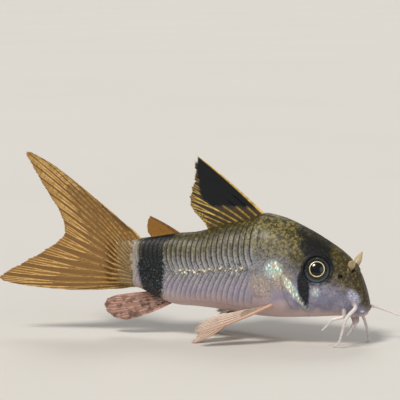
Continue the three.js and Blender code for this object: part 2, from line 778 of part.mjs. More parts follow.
function buildPectoralFins() {
  const front = flankPoint(3.6, 6.3, 1, GAP);
  const rear = flankPoint(1.9, 5.9, 1, GAP);
  const margin = [
    new THREE.Vector3(-7.7, 9.0, 1.95), new THREE.Vector3(-7.9, 8.6, 2.7), new THREE.Vector3(-7.3, 8.0, 3.5),
    new THREE.Vector3(-6.2, 7.3, 4.1), new THREE.Vector3(-4.8, 6.7, 4.6), new THREE.Vector3(-3.2, 6.1, 4.9),
  ];
  const normal = spanNormal(front, margin[0], margin[4]);
  const geometry = rayFin({
    rays: 8,
    rows: 6,
    roots: (s) => new THREE.Vector3().lerpVectors(front, rear, s),
    tips: (s) => alongSpline(margin, s),
    bow: (s) => new THREE.Vector3(0, 0.55 * (1 - s), -0.25 * (1 - s)),
    across: () => normal,
    rootHalf: 0.4,
    spine: 0.2,
  });
  addNode('pectoral_fin_l', geometry.clone(), FIN_PALE, 0.4);
  addNode('pectoral_fin_r', mirrored(geometry), FIN_PALE, 0.4);
}

function buildPelvicFins() {
  const front = flankPoint(-1.9, lowZ(-1.9) + 0.35, 1, GAP);
  const rear = flankPoint(-3.3, lowZ(-3.3) + 0.1, 1, GAP);
  const floorHalf = 0.14;
  const margin = [
    new THREE.Vector3(-8.9, 5.6, 0), new THREE.Vector3(-9.2, 4.7, 0),
    new THREE.Vector3(-8.9, 3.7, 0.3), new THREE.Vector3(-8.2, 2.9, 1.1), new THREE.Vector3(-7.2, 2.2, 1.9),
  ];
  const normal = spanNormal(front, margin[0], margin[3]);
  const geometry = rayFin({
    rays: 6,
    rows: 6,
    roots: (s) => new THREE.Vector3().lerpVectors(front, rear, s),
    tips: (s) => alongSpline(margin, s),
    bow: (s) => new THREE.Vector3(0, 0.25 * (1 - s), -0.75 * (1 - s)),
    across: () => normal,
    rootHalf: 0.36,
    spine: 0.12,
    curl: (point) => {
      point.z = Math.max(point.z, floorHalf);
      return point;
    },
  });
  const solid = restOnFloor(geometry);
  addNode('pelvic_fin_l', solid.clone(), FIN_PALE, 0.4);
  addNode('pelvic_fin_r', mirrored(solid), FIN_PALE, 0.4);
}

// Feelers, each with its way to the tip: those of the lips grow from a place of the flank in
// side view, and those of the chin start at a root of their own.
const FEELERS = {
  barbel_chin_r: {
    root: [15.75, -0.95, 3.45],
    way: [[15.6, -1.05, 3.1], [15.2, -1.3, 2.3], [14.7, -1.45, 1.6]],
  },
  barbel_chin_l: {
    root: [15.75, 0.95, 3.45],
    way: [[15.6, 1.05, 3.1], [15.3, 1.3, 2.3], [14.9, 1.5, 1.6]],
  },
  barbel_upper_r: {
    side: -1,
    x: 16.2,
    z: 6.7,
    way: [[15.5, -4.3, 4.8], [14.7, -4.0, 2.6], [13.9, -3.6, 0.7], [13.0, -3.2, 0.08]],
  },
  barbel_lower_r: {
    side: -1,
    x: 14.7,
    z: 5.7,
    way: [[13.2, -4.1, 4.4], [12.2, -3.9, 3.4], [11.3, -3.6, 2.5]],
  },
  barbel_upper_l: {
    side: 1,
    x: 16.4,
    z: 6.1,
    way: [[17.9, 3.7, 5.4], [19.6, 4.4, 4.7], [21.6, 4.9, 3.9]],
  },
  barbel_lower_l: {
    side: 1,
    x: 15.2,
    z: 5.7,
    way: [[15.9, 3.9, 4.0], [16.6, 3.7, 2.1], [16.9, 3.3, 0.4], [16.9, 2.2, 0.08]],
  },
};

function buildFeelers() {
  for (const [name, { side, x, z, root, way }] of Object.entries(FEELERS)) {
    const places = root
      ? [new THREE.Vector3(...root)]
      : [flankPoint(x, z, side, GAP), flankPoint(x, z, side, 4 * GAP)];
    places.push(...way.map((p) => new THREE.Vector3(...p)));
    const curve = new THREE.CatmullRomCurve3(places);
    const radius = (t) => THREE.MathUtils.lerp(FEELER_ROOT, FEELER_TIP, t);
    const tube = taperedTube(curve, FEELER_STEPS, FEELER_SIDES, radius);
    addNode(name, restOnFloor(tube), FEELER_PALE, 0.4);
  }
}

// Flap of skin that stands at the front nostril: a leaf, rolled a little round its length.
function buildNostrilFlap(name, side, direction) {
  const { at, angle, radius } = FRONT_NOSTRIL;
  const out = skinNormal(at, side * angle);
  const along = new THREE.Vector3(...direction);
  const across = new THREE.Vector3().crossVectors(along, out).normalize();
  const face = new THREE.Vector3().crossVectors(across, along).normalize();
  const root = skinPoint(at, side * angle).addScaledVector(out, NOSTRIL_RIM + GAP);
  root.x -= 0.6 * radius;
  const middle = (c, r) => {
    const t = r / FLAP_ROWS;
    const reach = (2 * c) / FLAP_ROWS - 1;
    const width = 0.5 * FLAP_WIDTH * Math.sqrt(1 - FLAP_TAPER * t * t);
    return root.clone()
      .addScaledVector(along, t * (1 - FLAP_ROUND * reach * reach))
      .addScaledVector(across, reach * width)
      .addScaledVector(face, -FLAP_ROLL * reach * reach);
  };
  const half = (c, r) => THREE.MathUtils.lerp(FLAP_ROOT_HALF, FIN_TIP_HALF, r / FLAP_ROWS);
  const geometry = membrane(FLAP_ROWS, FLAP_ROWS, middle, () => face, half);
  addNode(name, geometry, SKIN_MOTTLED, 0.4);
}

buildHead();
buildTrunk();
buildTailStalk();
buildEyes();
buildDorsalFin();
buildAdiposeFin();
buildAnalFin();
buildCaudalFin();
buildPectoralFins();
buildPelvicFins();
buildFeelers();
buildNostrilFlap('nostril_flap_l', 1, [1.5, 1.0, 2.0]);
buildNostrilFlap('nostril_flap_r', -1, [0.4, -1.3, 1.6]);

// The part's origin is under the middle of its box.
const box = new THREE.Box3().setFromObject(fish);
const middle = box.getCenter(new THREE.Vector3());
fish.position.set(-middle.x, -middle.y, -box.min.z);
fish.updateMatrixWorld(true);

export default fish;
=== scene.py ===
"""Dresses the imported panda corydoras: skin, flank plates, eyes, fins, feelers, floor and lights."""

import json
import logging
import math
from dataclasses import dataclass
from enum import Enum
from functools import cached_property
from typing import Callable, Optional, Sequence, Union

import bpy
import numpy as np
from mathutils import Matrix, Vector

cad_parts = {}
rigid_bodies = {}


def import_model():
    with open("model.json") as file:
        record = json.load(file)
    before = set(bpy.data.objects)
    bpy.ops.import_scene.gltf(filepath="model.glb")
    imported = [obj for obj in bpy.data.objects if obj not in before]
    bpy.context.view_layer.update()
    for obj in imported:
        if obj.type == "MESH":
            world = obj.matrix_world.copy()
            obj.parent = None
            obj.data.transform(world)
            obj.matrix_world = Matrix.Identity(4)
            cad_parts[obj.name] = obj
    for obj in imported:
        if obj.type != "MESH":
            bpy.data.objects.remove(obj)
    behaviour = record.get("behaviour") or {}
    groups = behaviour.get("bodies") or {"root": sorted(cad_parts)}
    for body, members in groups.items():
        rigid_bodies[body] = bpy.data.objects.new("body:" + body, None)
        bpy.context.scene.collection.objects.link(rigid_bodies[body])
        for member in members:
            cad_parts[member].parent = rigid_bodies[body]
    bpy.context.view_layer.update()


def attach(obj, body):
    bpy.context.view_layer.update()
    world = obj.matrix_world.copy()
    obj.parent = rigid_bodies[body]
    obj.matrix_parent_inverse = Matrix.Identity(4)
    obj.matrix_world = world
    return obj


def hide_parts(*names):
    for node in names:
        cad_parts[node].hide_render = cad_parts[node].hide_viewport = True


LOG = logging.getLogger("panda_corydoras")
BODY = "root"
MM = 0.001

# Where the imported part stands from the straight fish's own origin, in millimetres.
SHIFT = (9.00407, 0.17757, 0.0)
BEND_HEAD = 0.005
BEND_TAIL = 0.006

Array = np.ndarray
Socket = bpy.types.NodeSocket
Material = bpy.types.Material
Piece = bpy.types.Object


def smooth(value: Array, low: float, high: float) -> Array:
    """Eases from 0 to 1 between two values.

    Args:
        value: Numbers to ease.
        low: Where the result is still 0.
        high: Where the result has reached 1.

    Returns:
        The eased numbers.
    """
    t = np.clip((np.asarray(value, float) - low) / (high - low), 0.0, 1.0)
    return t * t * (3.0 - 2.0 * t)


def blend_between(a: Array, b: Array, t: Array) -> Array:
    """Straight blend from a to b."""
    return a + (b - a) * t


def unit(v: Array) -> Array:
    """Vectors at length one."""
    return v / np.maximum(np.linalg.norm(v, axis=-1, keepdims=True), 1e-12)


def bell(value: Array, width: float) -> Array:
    """Bell curve: 1 at zero, a third at the width."""
    return np.exp(-((value / width) ** 2))


def turns(count: int) -> Array:
    """Angles that lie evenly round a circle."""
    return np.linspace(0.0, 2.0 * math.pi, count, endpoint=False)


def suffix_of(side: float) -> str:
    """The ending of a name on the left (1) or right (-1)."""
    return "l" if side > 0 else "r"


def rippled(points: Array, scale: float, seed: int) -> Array:
    """Cheap smooth noise of a few turned waves, about -1 to 1.

    Args:
        points: Places, (..., 3), in millimetres.
        scale: Waves per millimetre.
        seed: Picks the waves.

    Returns:
        One number a place.
    """
    rng = np.random.default_rng(seed)
    total = np.zeros(points.shape[:-1])
    waves = 6
    for _ in range(waves):
        way = unit(rng.normal(size=3)) * scale * rng.uniform(0.6, 1.6)
        total += np.sin(points @ way * 2.0 * math.pi + rng.uniform(0.0, 2.0 * math.pi))
    return total / waves


class Column:
    """A smooth line through one measure of the body's sections, which run from nose to tail."""

    def __init__(self, at: Array, value: Array) -> None:
        """Keeps the knots and their slopes."""
        self.at = at
        self.value = value
        before = np.r_[0, np.arange(len(at) - 1)]
        after = np.r_[np.arange(1, len(at)), len(at) - 1]
        self.slope = (value[after] - value[before]) / (at[after] - at[before])

    def __call__(self, place: Array) -> Array:
        """The measure at places along the body.

        Args:
            place: Places from nose to tail.

        Returns:
            The measure at each.
        """
        place = np.asarray(place, float)
        i = np.clip(np.searchsorted(-self.at, -place, side="left") - 1, 0, len(self.at) - 2)
        span = self.at[i + 1] - self.at[i]
        t = np.clip((place - self.at[i]) / span, 0.0, 1.0)
        t2, t3 = t * t, t * t * t
        return (
            (2 * t3 - 3 * t2 + 1) * self.value[i]
            + (t3 - 2 * t2 + t) * span * self.slope[i]
            + (3 * t2 - 2 * t3) * self.value[i + 1]
            + (t3 - t2) * span * self.slope[i + 1]
        )


# Sections of the straight body, in millimetres: place, back line x and z, belly line x and z,
# half width, share of the height at the widest point.
SECTIONS = (
    (18.2, 17.95, 6.3, 17.75, 5.3, 0.8, 0.5),
    (17.5, 17.6, 7.6, 17.2, 4.85, 1.85, 0.46),
    (16.6, 17.1, 9.3, 16.3, 4.6, 2.7, 0.43),
    (15.5, 16.4, 11.1, 15.1, 4.5, 3.35, 0.41),
    (14.2, 15.2, 12.9, 13.8, 4.5, 3.8, 0.4),
    (12.6, 13.4, 14.5, 12.3, 4.4, 4.2, 0.4),
    (10.8, 11.2, 15.9, 10.7, 4.25, 4.6, 0.4),
    (8.6, 8.7, 17.3, 8.6, 4.1, 4.95, 0.4),
    (6.2, 6.2, 18.4, 6.2, 3.95, 5.25, 0.4),
    (3.6, 3.6, 19.2, 3.6, 3.85, 5.35, 0.4),
    (1.2, 1.2, 19.5, 1.2, 3.95, 5.25, 0.4),
    (-1.5, -1.5, 18.6, -1.5, 4.2, 4.95, 0.41),
    (-5.0, -5.0, 17.75, -5.0, 4.65, 4.35, 0.42),
    (-8.9, -8.9, 16.5, -8.9, 4.95, 3.6, 0.44),
    (-12.5, -12.5, 16.1, -12.5, 5.15, 2.8, 0.47),
    (-15.5, -15.5, 15.6, -15.5, 6.2, 2.15, 0.5),
    (-18.0, -18.0, 15.2, -18.0, 7.4, 1.6, 0.5),
    (-20.6, -20.6, 14.9, -20.6, 8.0, 1.15, 0.5),
)


class BodyShape:
    """The straight fish's body: the same rule that its solids follow."""

    back_power = 1.85
    belly_power = 2.7
    nose = 18.2
    head_end = 5.0
    tail_root = -20.6
    chart_steps = 30

    def __init__(self) -> None:
        """Fits the smooth lines through the sections."""
        rows = np.array(SECTIONS)
        columns = [Column(rows[:, 0], rows[:, i]) for i in range(1, rows.shape[1])]
        self.top_x, self.top_z, self.low_x, self.low_z, self.half, self.widest = columns

    def share(self, at: Array, angle: Array) -> Array:
        """Height share of the section at an angle from the back line.

        Args:
            at: Places along the body.
            angle: Angles from the back line.

        Returns:
            Shares, 0 on the belly line and 1 on the back line.
        """
        c = np.cos(angle)
        w = self.widest(at)
        upper = w + (1.0 - w) * np.abs(c) ** (2.0 / self.back_power)
        lower = w * (1.0 - np.abs(c) ** (2.0 / self.belly_power))
        return np.where(c >= 0.0, upper, lower)

    def angle(self, at: Array, share: Array, side: Array) -> Array:
        """Angle from the back line at a height share.

        Args:
            at: Places along the body.
            share: Height shares.
            side: 1 on the left and -1 on the right.

        Returns:
            The angles.
        """
        w = self.widest(at)
        upper = share >= w
        reach = np.clip(np.where(upper, (share - w) / (1.0 - w), (w - share) / w), 0.0, 1.0)
        power = np.where(upper, self.back_power, self.belly_power)
        return side * np.arccos(reach ** (power / 2.0) * np.where(upper, 1.0, -1.0))

    def point(self, at: Array, angle: Array) -> Array:
        """Points of the skin.

        Args:
            at: Places along the body.
            angle: Angles from the back line.

        Returns:
            Straight points in millimetres.
        """
        at, angle = np.broadcast_arrays(np.asarray(at, float), np.asarray(angle, float))
        share = self.share(at, angle)
        s = np.sin(angle)
        power = np.where(np.cos(angle) >= 0.0, self.back_power, self.belly_power)
        y = self.half(at) * np.sign(s) * np.abs(s) ** (2.0 / power)
        x = blend_between(self.low_x(at), self.top_x(at), share)
        z = blend_between(self.low_z(at), self.top_z(at), share)
        return np.stack([x, y, z], axis=-1)

    def normal(self, at: Array, angle: Array) -> Array:
        """Outward directions of the skin.

        Args:
            at: Places along the body.
            angle: Angles from the back line.

        Returns:
            Directions at length one.
        """
        step = 0.01
        along = self.point(at - step, angle) - self.point(at + step, angle)
        around = self.point(at, angle + step) - self.point(at, angle - step)
        return unit(np.cross(around, along))

    def raised(self, at: Array, angle: Array, lift: Array) -> Array:
        """Points a little above the skin."""
        lift = np.asarray(lift, float)[..., None]
        return self.point(at, angle) + self.normal(at, angle) * lift

    def chart(self, x: Array, z: Array) -> tuple[Array, Array]:
        """Finds what is seen from the side.

        Args:
            x: Places ahead.
            z: Heights.

        Returns:
            Places along the body and height shares.
        """
        at = np.array(x, float)
        share = np.full_like(at, 0.5)
        for _ in range(self.chart_steps):
            share = (z - self.low_z(at)) / (self.top_z(at) - self.low_z(at))
            at = at + x - blend_between(self.low_x(at), self.top_x(at), share)
        return at, np.clip(share, 0.0, 1.0)

    def flank(self, x: Array, z: Array, side: float, lift: Array = 0.0) -> Array:
        """Points of the flank seen from the side.

        Args:
            x: Places ahead.
            z: Heights.
            side: 1 on the left and -1 on the right.
            lift: Heights over the skin.

        Returns:
            Straight points in millimetres.
        """
        x, z = np.broadcast_arrays(np.asarray(x, float), np.asarray(z, float))
        at, share = self.chart(x, z)
        return self.raised(at, self.angle(at, share, side), np.broadcast_to(lift, at.shape))

    @staticmethod
    def placed(points: Array) -> Array:
        """Gives straight points the body's bend and their place in the part.

        Args:
            points: Straight places in millimetres.

        Returns:
            Places in metres.
        """
        x, y, z = points[..., 0], points[..., 1], points[..., 2]
        k = np.where(x > 0.0, BEND_HEAD, BEND_TAIL)
        turn = k * x
        bent_x = np.sin(turn) / k + y * np.sin(turn)
        bent_y = -(1.0 - np.cos(turn)) / k + y * np.cos(turn)
        return (np.stack([bent_x, bent_y, z], axis=-1) + np.array(SHIFT)) * MM


SHAPE = BodyShape()


def linear(code: str) -> tuple[float, float, float, float]:
    """Linear colour of a six-digit screen colour."""
    parts = [int(code[i : i + 2], 16) / 255.0 for i in (0, 2, 4)]
    r, g, b = (c / 12.92 if c <= 0.04045 else ((c + 0.055) / 1.055) ** 2.4 for c in parts)
    return (r, g, b, 1.0)


class Bench:
    """Adds nodes to a shader or geometry tree and wires them."""

    def __init__(self, tree: bpy.types.NodeTree) -> None:
        """Works on one tree."""
        self.tree = tree

    def add(
        self,
        kind: str,
        settings: Optional[dict[str, object]] = None,
        sockets: Optional[dict[Union[str, int], object]] = None,
    ) -> bpy.types.Node:
        """Adds a node.

        Args:
            kind: Blender's name of the node type.
            settings: The node's own properties, set first.
            sockets: Values or links of its inputs, by name or number.

        Returns:
            The node.
        """
        node = self.tree.nodes.new(kind)
        for key, value in (settings or {}).items():
            setattr(node, key, value)
        for key, value in (sockets or {}).items():
            self.plug(node.inputs[key], value)
        return node

    def plug(self, socket: Socket, value: object) -> None:
        """Links a socket, or sets its value."""
        if isinstance(value, Wire):
            self.tree.links.new(value.socket, socket)
        elif isinstance(value, Socket):
            self.tree.links.new(value, socket)
        else:
            socket.default_value = value


class Wire:
    """A value socket that takes part in Python sums."""

    def __init__(self, bench: Bench, socket: Socket) -> None:
        """Wraps one output socket."""
        self.bench = bench
        self.socket = socket

    def math(self, operation: str, *others: object, first: object = None) -> "Wire":
        """Adds one Math node.

        Args:
            operation: Blender's name of the sum.
            others: The values or wires that follow.
            first: Stands before this wire, for reflected sums.

        Returns:
            The result's wire.
        """
        values = [self, *others] if first is None else [first, self]
        kind = "ShaderNodeMath"
        node = self.bench.add(kind, {"operation": operation}, dict(enumerate(values)))
        return Wire(self.bench, node.outputs[0])

    def __add__(self, other: object) -> "Wire":
        """Sum."""
        return self.math("ADD", other)

    def __sub__(self, other: object) -> "Wire":
        """Difference."""
        return self.math("SUBTRACT", other)

    def __rsub__(self, other: object) -> "Wire":
        """Reflected difference."""
        return self.math("SUBTRACT", first=other)

    def __mul__(self, other: object) -> "Wire":
        """Product."""
        return self.math("MULTIPLY", other)

    def __truediv__(self, other: object) -> "Wire":
        """Quotient."""
        return self.math("DIVIDE", other)

    def __pow__(self, other: object) -> "Wire":
        """Power."""
        return self.math("POWER", other)

    __radd__ = __add__
    __rmul__ = __mul__

    def least(self, other: object) -> "Wire":
        """The smaller of two."""
        return self.math("MINIMUM", other)

    def most(self, other: object) -> "Wire":
        """The larger of two."""
        return self.math("MAXIMUM", other)

    def size(self) -> "Wire":
        """Absolute value."""
        return self.math("ABSOLUTE")

    def root(self) -> "Wire":
        """Square root."""
        return self.math("SQRT")

    def sine(self) -> "Wire":
        """Sine."""
        return self.math("SINE")

    def fraction(self) -> "Wire":
        """What is past the whole number."""
        return self.math("FRACT")

    def beat(self) -> "Wire":
        """Distance from the middle of each whole step, from 0 to a half."""
        return (self.fraction() - 0.5).size()

    def ease(self, low: float, high: float) -> "Wire":
        """Eases from 0 to 1.

        Args:
            low: Where the result is still 0.
            high: Where it has reached 1; it may be the smaller.

        Returns:
            The eased wire.
        """
        node = self.bench.add(
            "ShaderNodeMapRange",
            {"interpolation_type": "SMOOTHSTEP"},
            {"Value": self, "From Min": min(low, high), "From Max": max(low, high)},
        )
        eased = Wire(self.bench, node.outputs["Result"])
        return 1.0 - eased if high < low else eased


@dataclass(frozen=True)
class Spot:
    """An oval in side view; the slant is how far its top leans forward, per height."""

    x: float
    z: float
    half_x: float
    half_z: float
    slant: float = 0.0


class Paint:
    """Shader sums shared by the finishes: patterns, mixes and the fish's own coordinates."""

    def __init__(self, name: str) -> None:
        """Starts a material with an empty tree."""
        self.material = bpy.data.materials.new(name)
        self.material.use_nodes = True
        self.material.node_tree.nodes.clear()
        self.bench = Bench(self.material.node_tree)
        self.shared: dict[str, Socket] = {}

    def attribute(self, name: str) -> Socket:
        """The piece's own vector attribute.

        Args:
            name: The attribute.

        Returns:
            The vector socket, the same one each time.
        """
        if name not in self.shared:
            node = self.bench.add("ShaderNodeAttribute", {"attribute_name": name})
            self.shared[name] = node.outputs["Vector"]
        return self.shared[name]

    def axes(self, name: str) -> tuple[Wire, Wire, Wire]:
        """Splits a vector attribute.

        Args:
            name: The attribute.

        Returns:
            Its three numbers.
        """
        node = self.bench.add("ShaderNodeSeparateXYZ", None, {0: self.attribute(name)})
        x, y, z = (Wire(self.bench, node.outputs[i]) for i in range(3))
        return x, y, z

    def stretched(self, name: str, scale: Sequence[float], turn: float = 0.0) -> Socket:
        """An attribute's vector, scaled by axis and turned about Y.

        Args:
            name: The attribute.
            scale: Factor for each axis.
            turn: Turn about Y, in radians.

        Returns:
            The vector socket.
        """
        sockets = {"Vector": self.attribute(name), "Scale": tuple(scale), "Rotation": (0.0, turn, 0.0)}
        return self.bench.add("ShaderNodeMapping", None, sockets).outputs["Vector"]

    def noise(
        self, vector: Socket, scale: float, detail: float = 2.0, rough: float = 0.5
    ) -> Wire:
        """Soft noise from 0 to 1.

        Args:
            vector: Where it is read.
            scale: Lumps per unit of the vector.
            detail: Number of finer layers.
            rough: Strength of the finer layers.

        Returns:
            The noise.
        """
        sockets = {"Vector": vector, "Scale": scale, "Detail": detail, "Roughness": rough}
        node = self.bench.add("ShaderNodeTexNoise", None, sockets)
        return Wire(self.bench, node.outputs[0])

    def cells(self, vector: Socket, scale: float, feature: str = "F1") -> Wire:
        """Distance in a field of cells.

        Args:
            vector: Where it is read.
            scale: Cells per unit of the vector.
            feature: Blender's name of what the distance is to.

        Returns:
            The distance.
        """
        sockets = {"Vector": vector, "Scale": scale}
        node = self.bench.add("ShaderNodeTexVoronoi", {"feature": feature}, sockets)
        return Wire(self.bench, node.outputs["Distance"])

    def mix(self, amount: object, base: object, over: object) -> Socket:
        """Mixes two colours.

        Args:
            amount: How much of the second shows.
            base: The first, as a socket or a hex code.
            over: The second, likewise.

        Returns:
            The colour socket.
        """
        base, over = (linear(c) if isinstance(c, str) else c for c in (base, over))
        sockets = {0: amount, 6: base, 7: over}
        return self.bench.add("ShaderNodeMix", {"data_type": "RGBA"}, sockets).outputs[2]

    def layered(self, base: object, *layers: tuple[object, object]) -> Socket:
        """Lays colours over a base, one after the other.

        Args:
            base: The first colour.
            layers: An amount and a colour each.

        Returns:
            The colour socket.
        """
        for amount, colour in layers:
            base = self.mix(amount, base, colour)
        return base

    def bump(self, height: Wire, depth: float, strength: float = 1.0) -> Socket:
        """A bump of a height from 0 to 1, depth in millimetres."""
        sockets = {"Height": height, "Distance": depth * MM, "Strength": strength}
        return self.bench.add("ShaderNodeBump", None, sockets).outputs["Normal"]

    def close(self, **sockets: object) -> Material:
        """Ends the tree in one Principled shader.

        Args:
            sockets: Its sockets, with underscores for spaces.

        Returns:
            The material.
        """
        named = {key.replace("_", " "): value for key, value in sockets.items()}
        shader = self.bench.add("ShaderNodeBsdfPrincipled", None, named)
        end = self.bench.add("ShaderNodeOutputMaterial", None, {"Surface": shader.outputs[0]})
        end.is_active_output = True
        return self.material


class FishPaint(Paint):
    """Paint with the body's coordinates and the noises that its markings share."""

    def __init__(self, name: str) -> None:
        """Reads the coordinates and lays the noises, from the softest to the finest."""
        super().__init__(name)
        self.rest = self.attribute("rest")
        self.x, _, self.z = self.axes("rest")
        self.at, self.share, self.across = self.axes("chart")
        self.soft = self.noise(self.rest, 0.55, 3.0)
        self.wobble = self.noise(self.rest, 0.9)
        self.mid = self.noise(self.rest, 1.9, 3.0, 0.6)
        self.fine = self.noise(self.rest, 3.6, 3.0)
        self.dust = self.noise(self.rest, 7.5)

    def blot(self, spot: Spot) -> Wire:
        """Distance from a spot's middle in side view.

        Args:
            spot: The oval.

        Returns:
            The distance, 1 on its edge.
        """
        rise = self.z - spot.z
        ahead = (self.x - spot.x - rise * spot.slant) / spot.half_x
        up = rise / spot.half_z
        return (ahead * ahead + up * up).root()


# Where the head's and shoulder's markings lie, and where sheen and a highlight are painted on.
MASK_CROWN = Spot(10.0, 14.9, 2.2, 2.1, -0.35)
MASK_RIDGE = Spot(9.3, 17.0, 2.6, 1.6, -0.5)
MASK_ORBIT = Spot(10.65, 12.1, 2.55, 2.35)
MASK_WEDGE = Spot(8.75, 9.2, 0.85, 2.9, -0.1)
NAPE = Spot(3.6, 16.6, 6.4, 3.2, -0.3)
GILL_DUST = Spot(5.4, 10.2, 2.1, 1.9)
SHOULDER_DUST = Spot(2.2, 9.1, 2.2, 2.6)
# Painted sheen: where gill cover, shoulder and cheek look lit.
PAINTED_GILL_SHEEN = Spot(7.3, 8.6, 0.85, 2.75, -0.7)
PAINTED_SHOULDER_SHEEN = Spot(4.1, 11.8, 1.5, 1.4)
PAINTED_CHEEK_SHEEN = Spot(10.6, 8.5, 0.8, 0.8)
# Painted highlight near the mouth corner.
LIP_HIGHLIGHT = Spot(16.1, 7.9, 0.9, 1.3, -0.5)
LIP_DOT = Spot(17.25, 5.5, 0.24, 0.2)


@dataclass(frozen=True)
class MarkedFinish:
    """The body's markings with its painted sheen and highlight, the same on skin, plates and covers."""

    name: str
    rims: bool = False
    back: str = "40370f"
    upper: str = "4a4223"
    flank: str = "828289"
    lower: str = "948a9a"
    belly: str = "bfa5a1"
    snout: str = "40341d"
    cheek: str = "7a788b"
    black: str = "07090b"
    gold: str = "d3bb7c"
    # Colour of the painted sheen.
    painted_glint: str = "d0fdee"
    stalk_pale: str = "9c9184"
    tail_gold: str = "a8854f"

    def body_tone(self, p: FishPaint) -> Socket:
        """Ground colour of flank and head, from belly to back.

        Args:
            p: The paint.

        Returns:
            The colour.
        """
        level = p.share + (p.soft - 0.5) * 0.16
        flank = p.layered(
            self.belly,
            (level.ease(0.1, 0.26), self.lower),
            (level.ease(0.26, 0.52), self.flank),
            (level.ease(0.56, 0.8), self.upper),
            (level.ease(0.78, 0.96), self.back),
        )
        head = p.layered(
            self.belly,
            (level.ease(0.04, 0.2), self.cheek),
            (level.ease(0.42, 0.68), self.upper),
            (level.ease(0.66, 0.86), self.back),
            (p.at.ease(11.0, 15.0) * level.ease(0.4, 0.66), self.snout),
        )
        return p.mix(p.at.ease(4.6, 7.6), flank, head)

    def mottled(self, p: FishPaint, tone: object) -> Socket:
        """Lays cloudy light and dark, and dark specks that thicken towards the back.

        Args:
            p: The paint.
            tone: The colour below.

        Returns:
            The colour.
        """
        specks = p.cells(p.rest, 2.3).ease(0.36, 0.14) * p.dust.ease(0.36, 0.54)
        pepper = p.cells(p.rest, 4.4).ease(0.38, 0.16) * p.wobble.ease(0.32, 0.52)
        return p.layered(
            tone,
            (p.wobble.ease(0.42, 0.72) * p.share.ease(0.85, 0.5) * 0.35, "b9aeb0"),
            (p.soft.ease(0.5, 0.36) * p.share.ease(0.4, 0.7) * 0.45, "453e28"),
            (p.mid.ease(0.5, 0.37) * p.share.ease(0.3, 0.7) * 0.4, "94874c"),
            (p.mid.ease(0.53, 0.66) * p.share.ease(0.25, 0.7) * 0.6, "2c2717"),
            (p.fine.ease(0.5, 0.66) * p.share.ease(0.1, 0.7) * 0.6, "39331f"),
            (specks * p.share.ease(0.35, 0.7) * 0.85, "1d1a12"),
            (pepper * p.share.ease(0.12, 0.4) * 0.75, "231e18"),
        )

    def gilded(self, p: FishPaint, tone: object) -> Socket:
        """Lays the gold net of the nape and the gold dust of gill cover and shoulder.

        Args:
            p: The paint.
            tone: The colour below.

        Returns:
            The colour.
        """
        net = p.cells(p.rest, 2.2, "DISTANCE_TO_EDGE").ease(0.2, 0.04) * p.mid.ease(0.6, 0.42)
        dusted = p.blot(GILL_DUST).least(p.blot(SHOULDER_DUST)).ease(1.15, 0.45)
        flecks = p.cells(p.stretched("rest", (1.5, 1.5, 1.0)), 2.1).ease(0.36, 0.14)
        return p.layered(
            tone,
            (p.blot(NAPE).ease(1.1, 0.6) * net * 0.5, "9a8b54"),
            (dusted * (flecks * 0.8 + 0.14), self.gold),
            (dusted * p.fine.ease(0.55, 0.66) * 0.6, "7a4f22"),
        )

    def rimmed(self, p: FishPaint, tone: object) -> Socket:
        """Lays each plate's pale middle and dark free edge.

        Args:
            p: The paint.
            tone: The colour below.

        Returns:
            The colour.
        """
        lead = p.across + (p.dust - 0.5) * 0.34 + (p.wobble - 0.5) * 0.2
        pale = lead.ease(0.35, 0.62) * (1.0 - lead.ease(0.66, 0.78))
        dark = lead.ease(0.74, 0.9) * p.share.ease(0.02, 0.3)
        return p.layered(
            tone,
            (pale * p.share.ease(0.95, 0.6) * 0.26, "bfc0c2"),
            (dark * (0.42 + p.share.ease(0.3, 0.75) * 0.45), "211c15"),
        )

    def mask(self, p: FishPaint) -> Wire:
        """The black mask: over the head's top, round the eye and down to a wedge behind it.

        Args:
            p: The paint.

        Returns:
            How black, thinner on the head's ridge.
        """
        crown, ridge = p.blot(MASK_CROWN) * 1.02, p.blot(MASK_RIDGE) * 1.22
        near = crown.least(p.blot(MASK_ORBIT)).least(p.blot(MASK_WEDGE)).least(ridge)
        near = near + (p.wobble - 0.5) * 0.55 + (p.fine - 0.5) * 0.55
        return near.ease(1.16, 0.84) * (1.0 - p.share.ease(0.9, 0.99) * 0.25)

    def band(self, p: FishPaint) -> Wire:
        """The black band of the tail stalk, wider along the back.

        Args:
            p: The paint.

        Returns:
            How black.
        """
        shake = (p.wobble - 0.5) * 0.9 + (p.fine - 0.5) * 1.2
        front = (p.z - 14.9).ease(-0.4, 0.9) * 2.0 - 13.75 - (p.z - 10.6).size() * 0.12
        rear = (p.z - 11.2).size() * 0.24 - 18.5
        return (front - p.x + shake).ease(-0.35, 0.45) * (p.x - rear + shake).ease(-0.35, 0.45)

    def painted_sheen(self, p: FishPaint) -> Wire:
        """Painted sheen: where the bone of gill cover, shoulder and cheek catches the light, laid in as
        bright colour.

        Args:
            p: The paint.

        Returns:
            How bright the painted sheen is.
        """
        shoulder = p.blot(PAINTED_SHOULDER_SHEEN).ease(1.25, 0.35)
        cheek = p.blot(PAINTED_CHEEK_SHEEN).ease(1.2, 0.3) * 0.5
        return shoulder.most(p.blot(PAINTED_GILL_SHEEN).ease(1.2, 0.35)).most(cheek)

    def make(self) -> Material:
        """Builds the material.

        Returns:
            The finished material.
        """
        p = FishPaint(self.name)
        # Painted sheen: bright streaked colour where the bones catch the light.
        painted_sheen_mask = self.painted_sheen(p)
        streaks = p.cells(p.stretched("rest", (2.4, 2.4, 1.0), -0.6), 1.35).ease(0.48, 0.2)
        painted_sheen_amount = (painted_sheen_mask * 1.3).least(1.0) * (0.32 + streaks * 0.9)
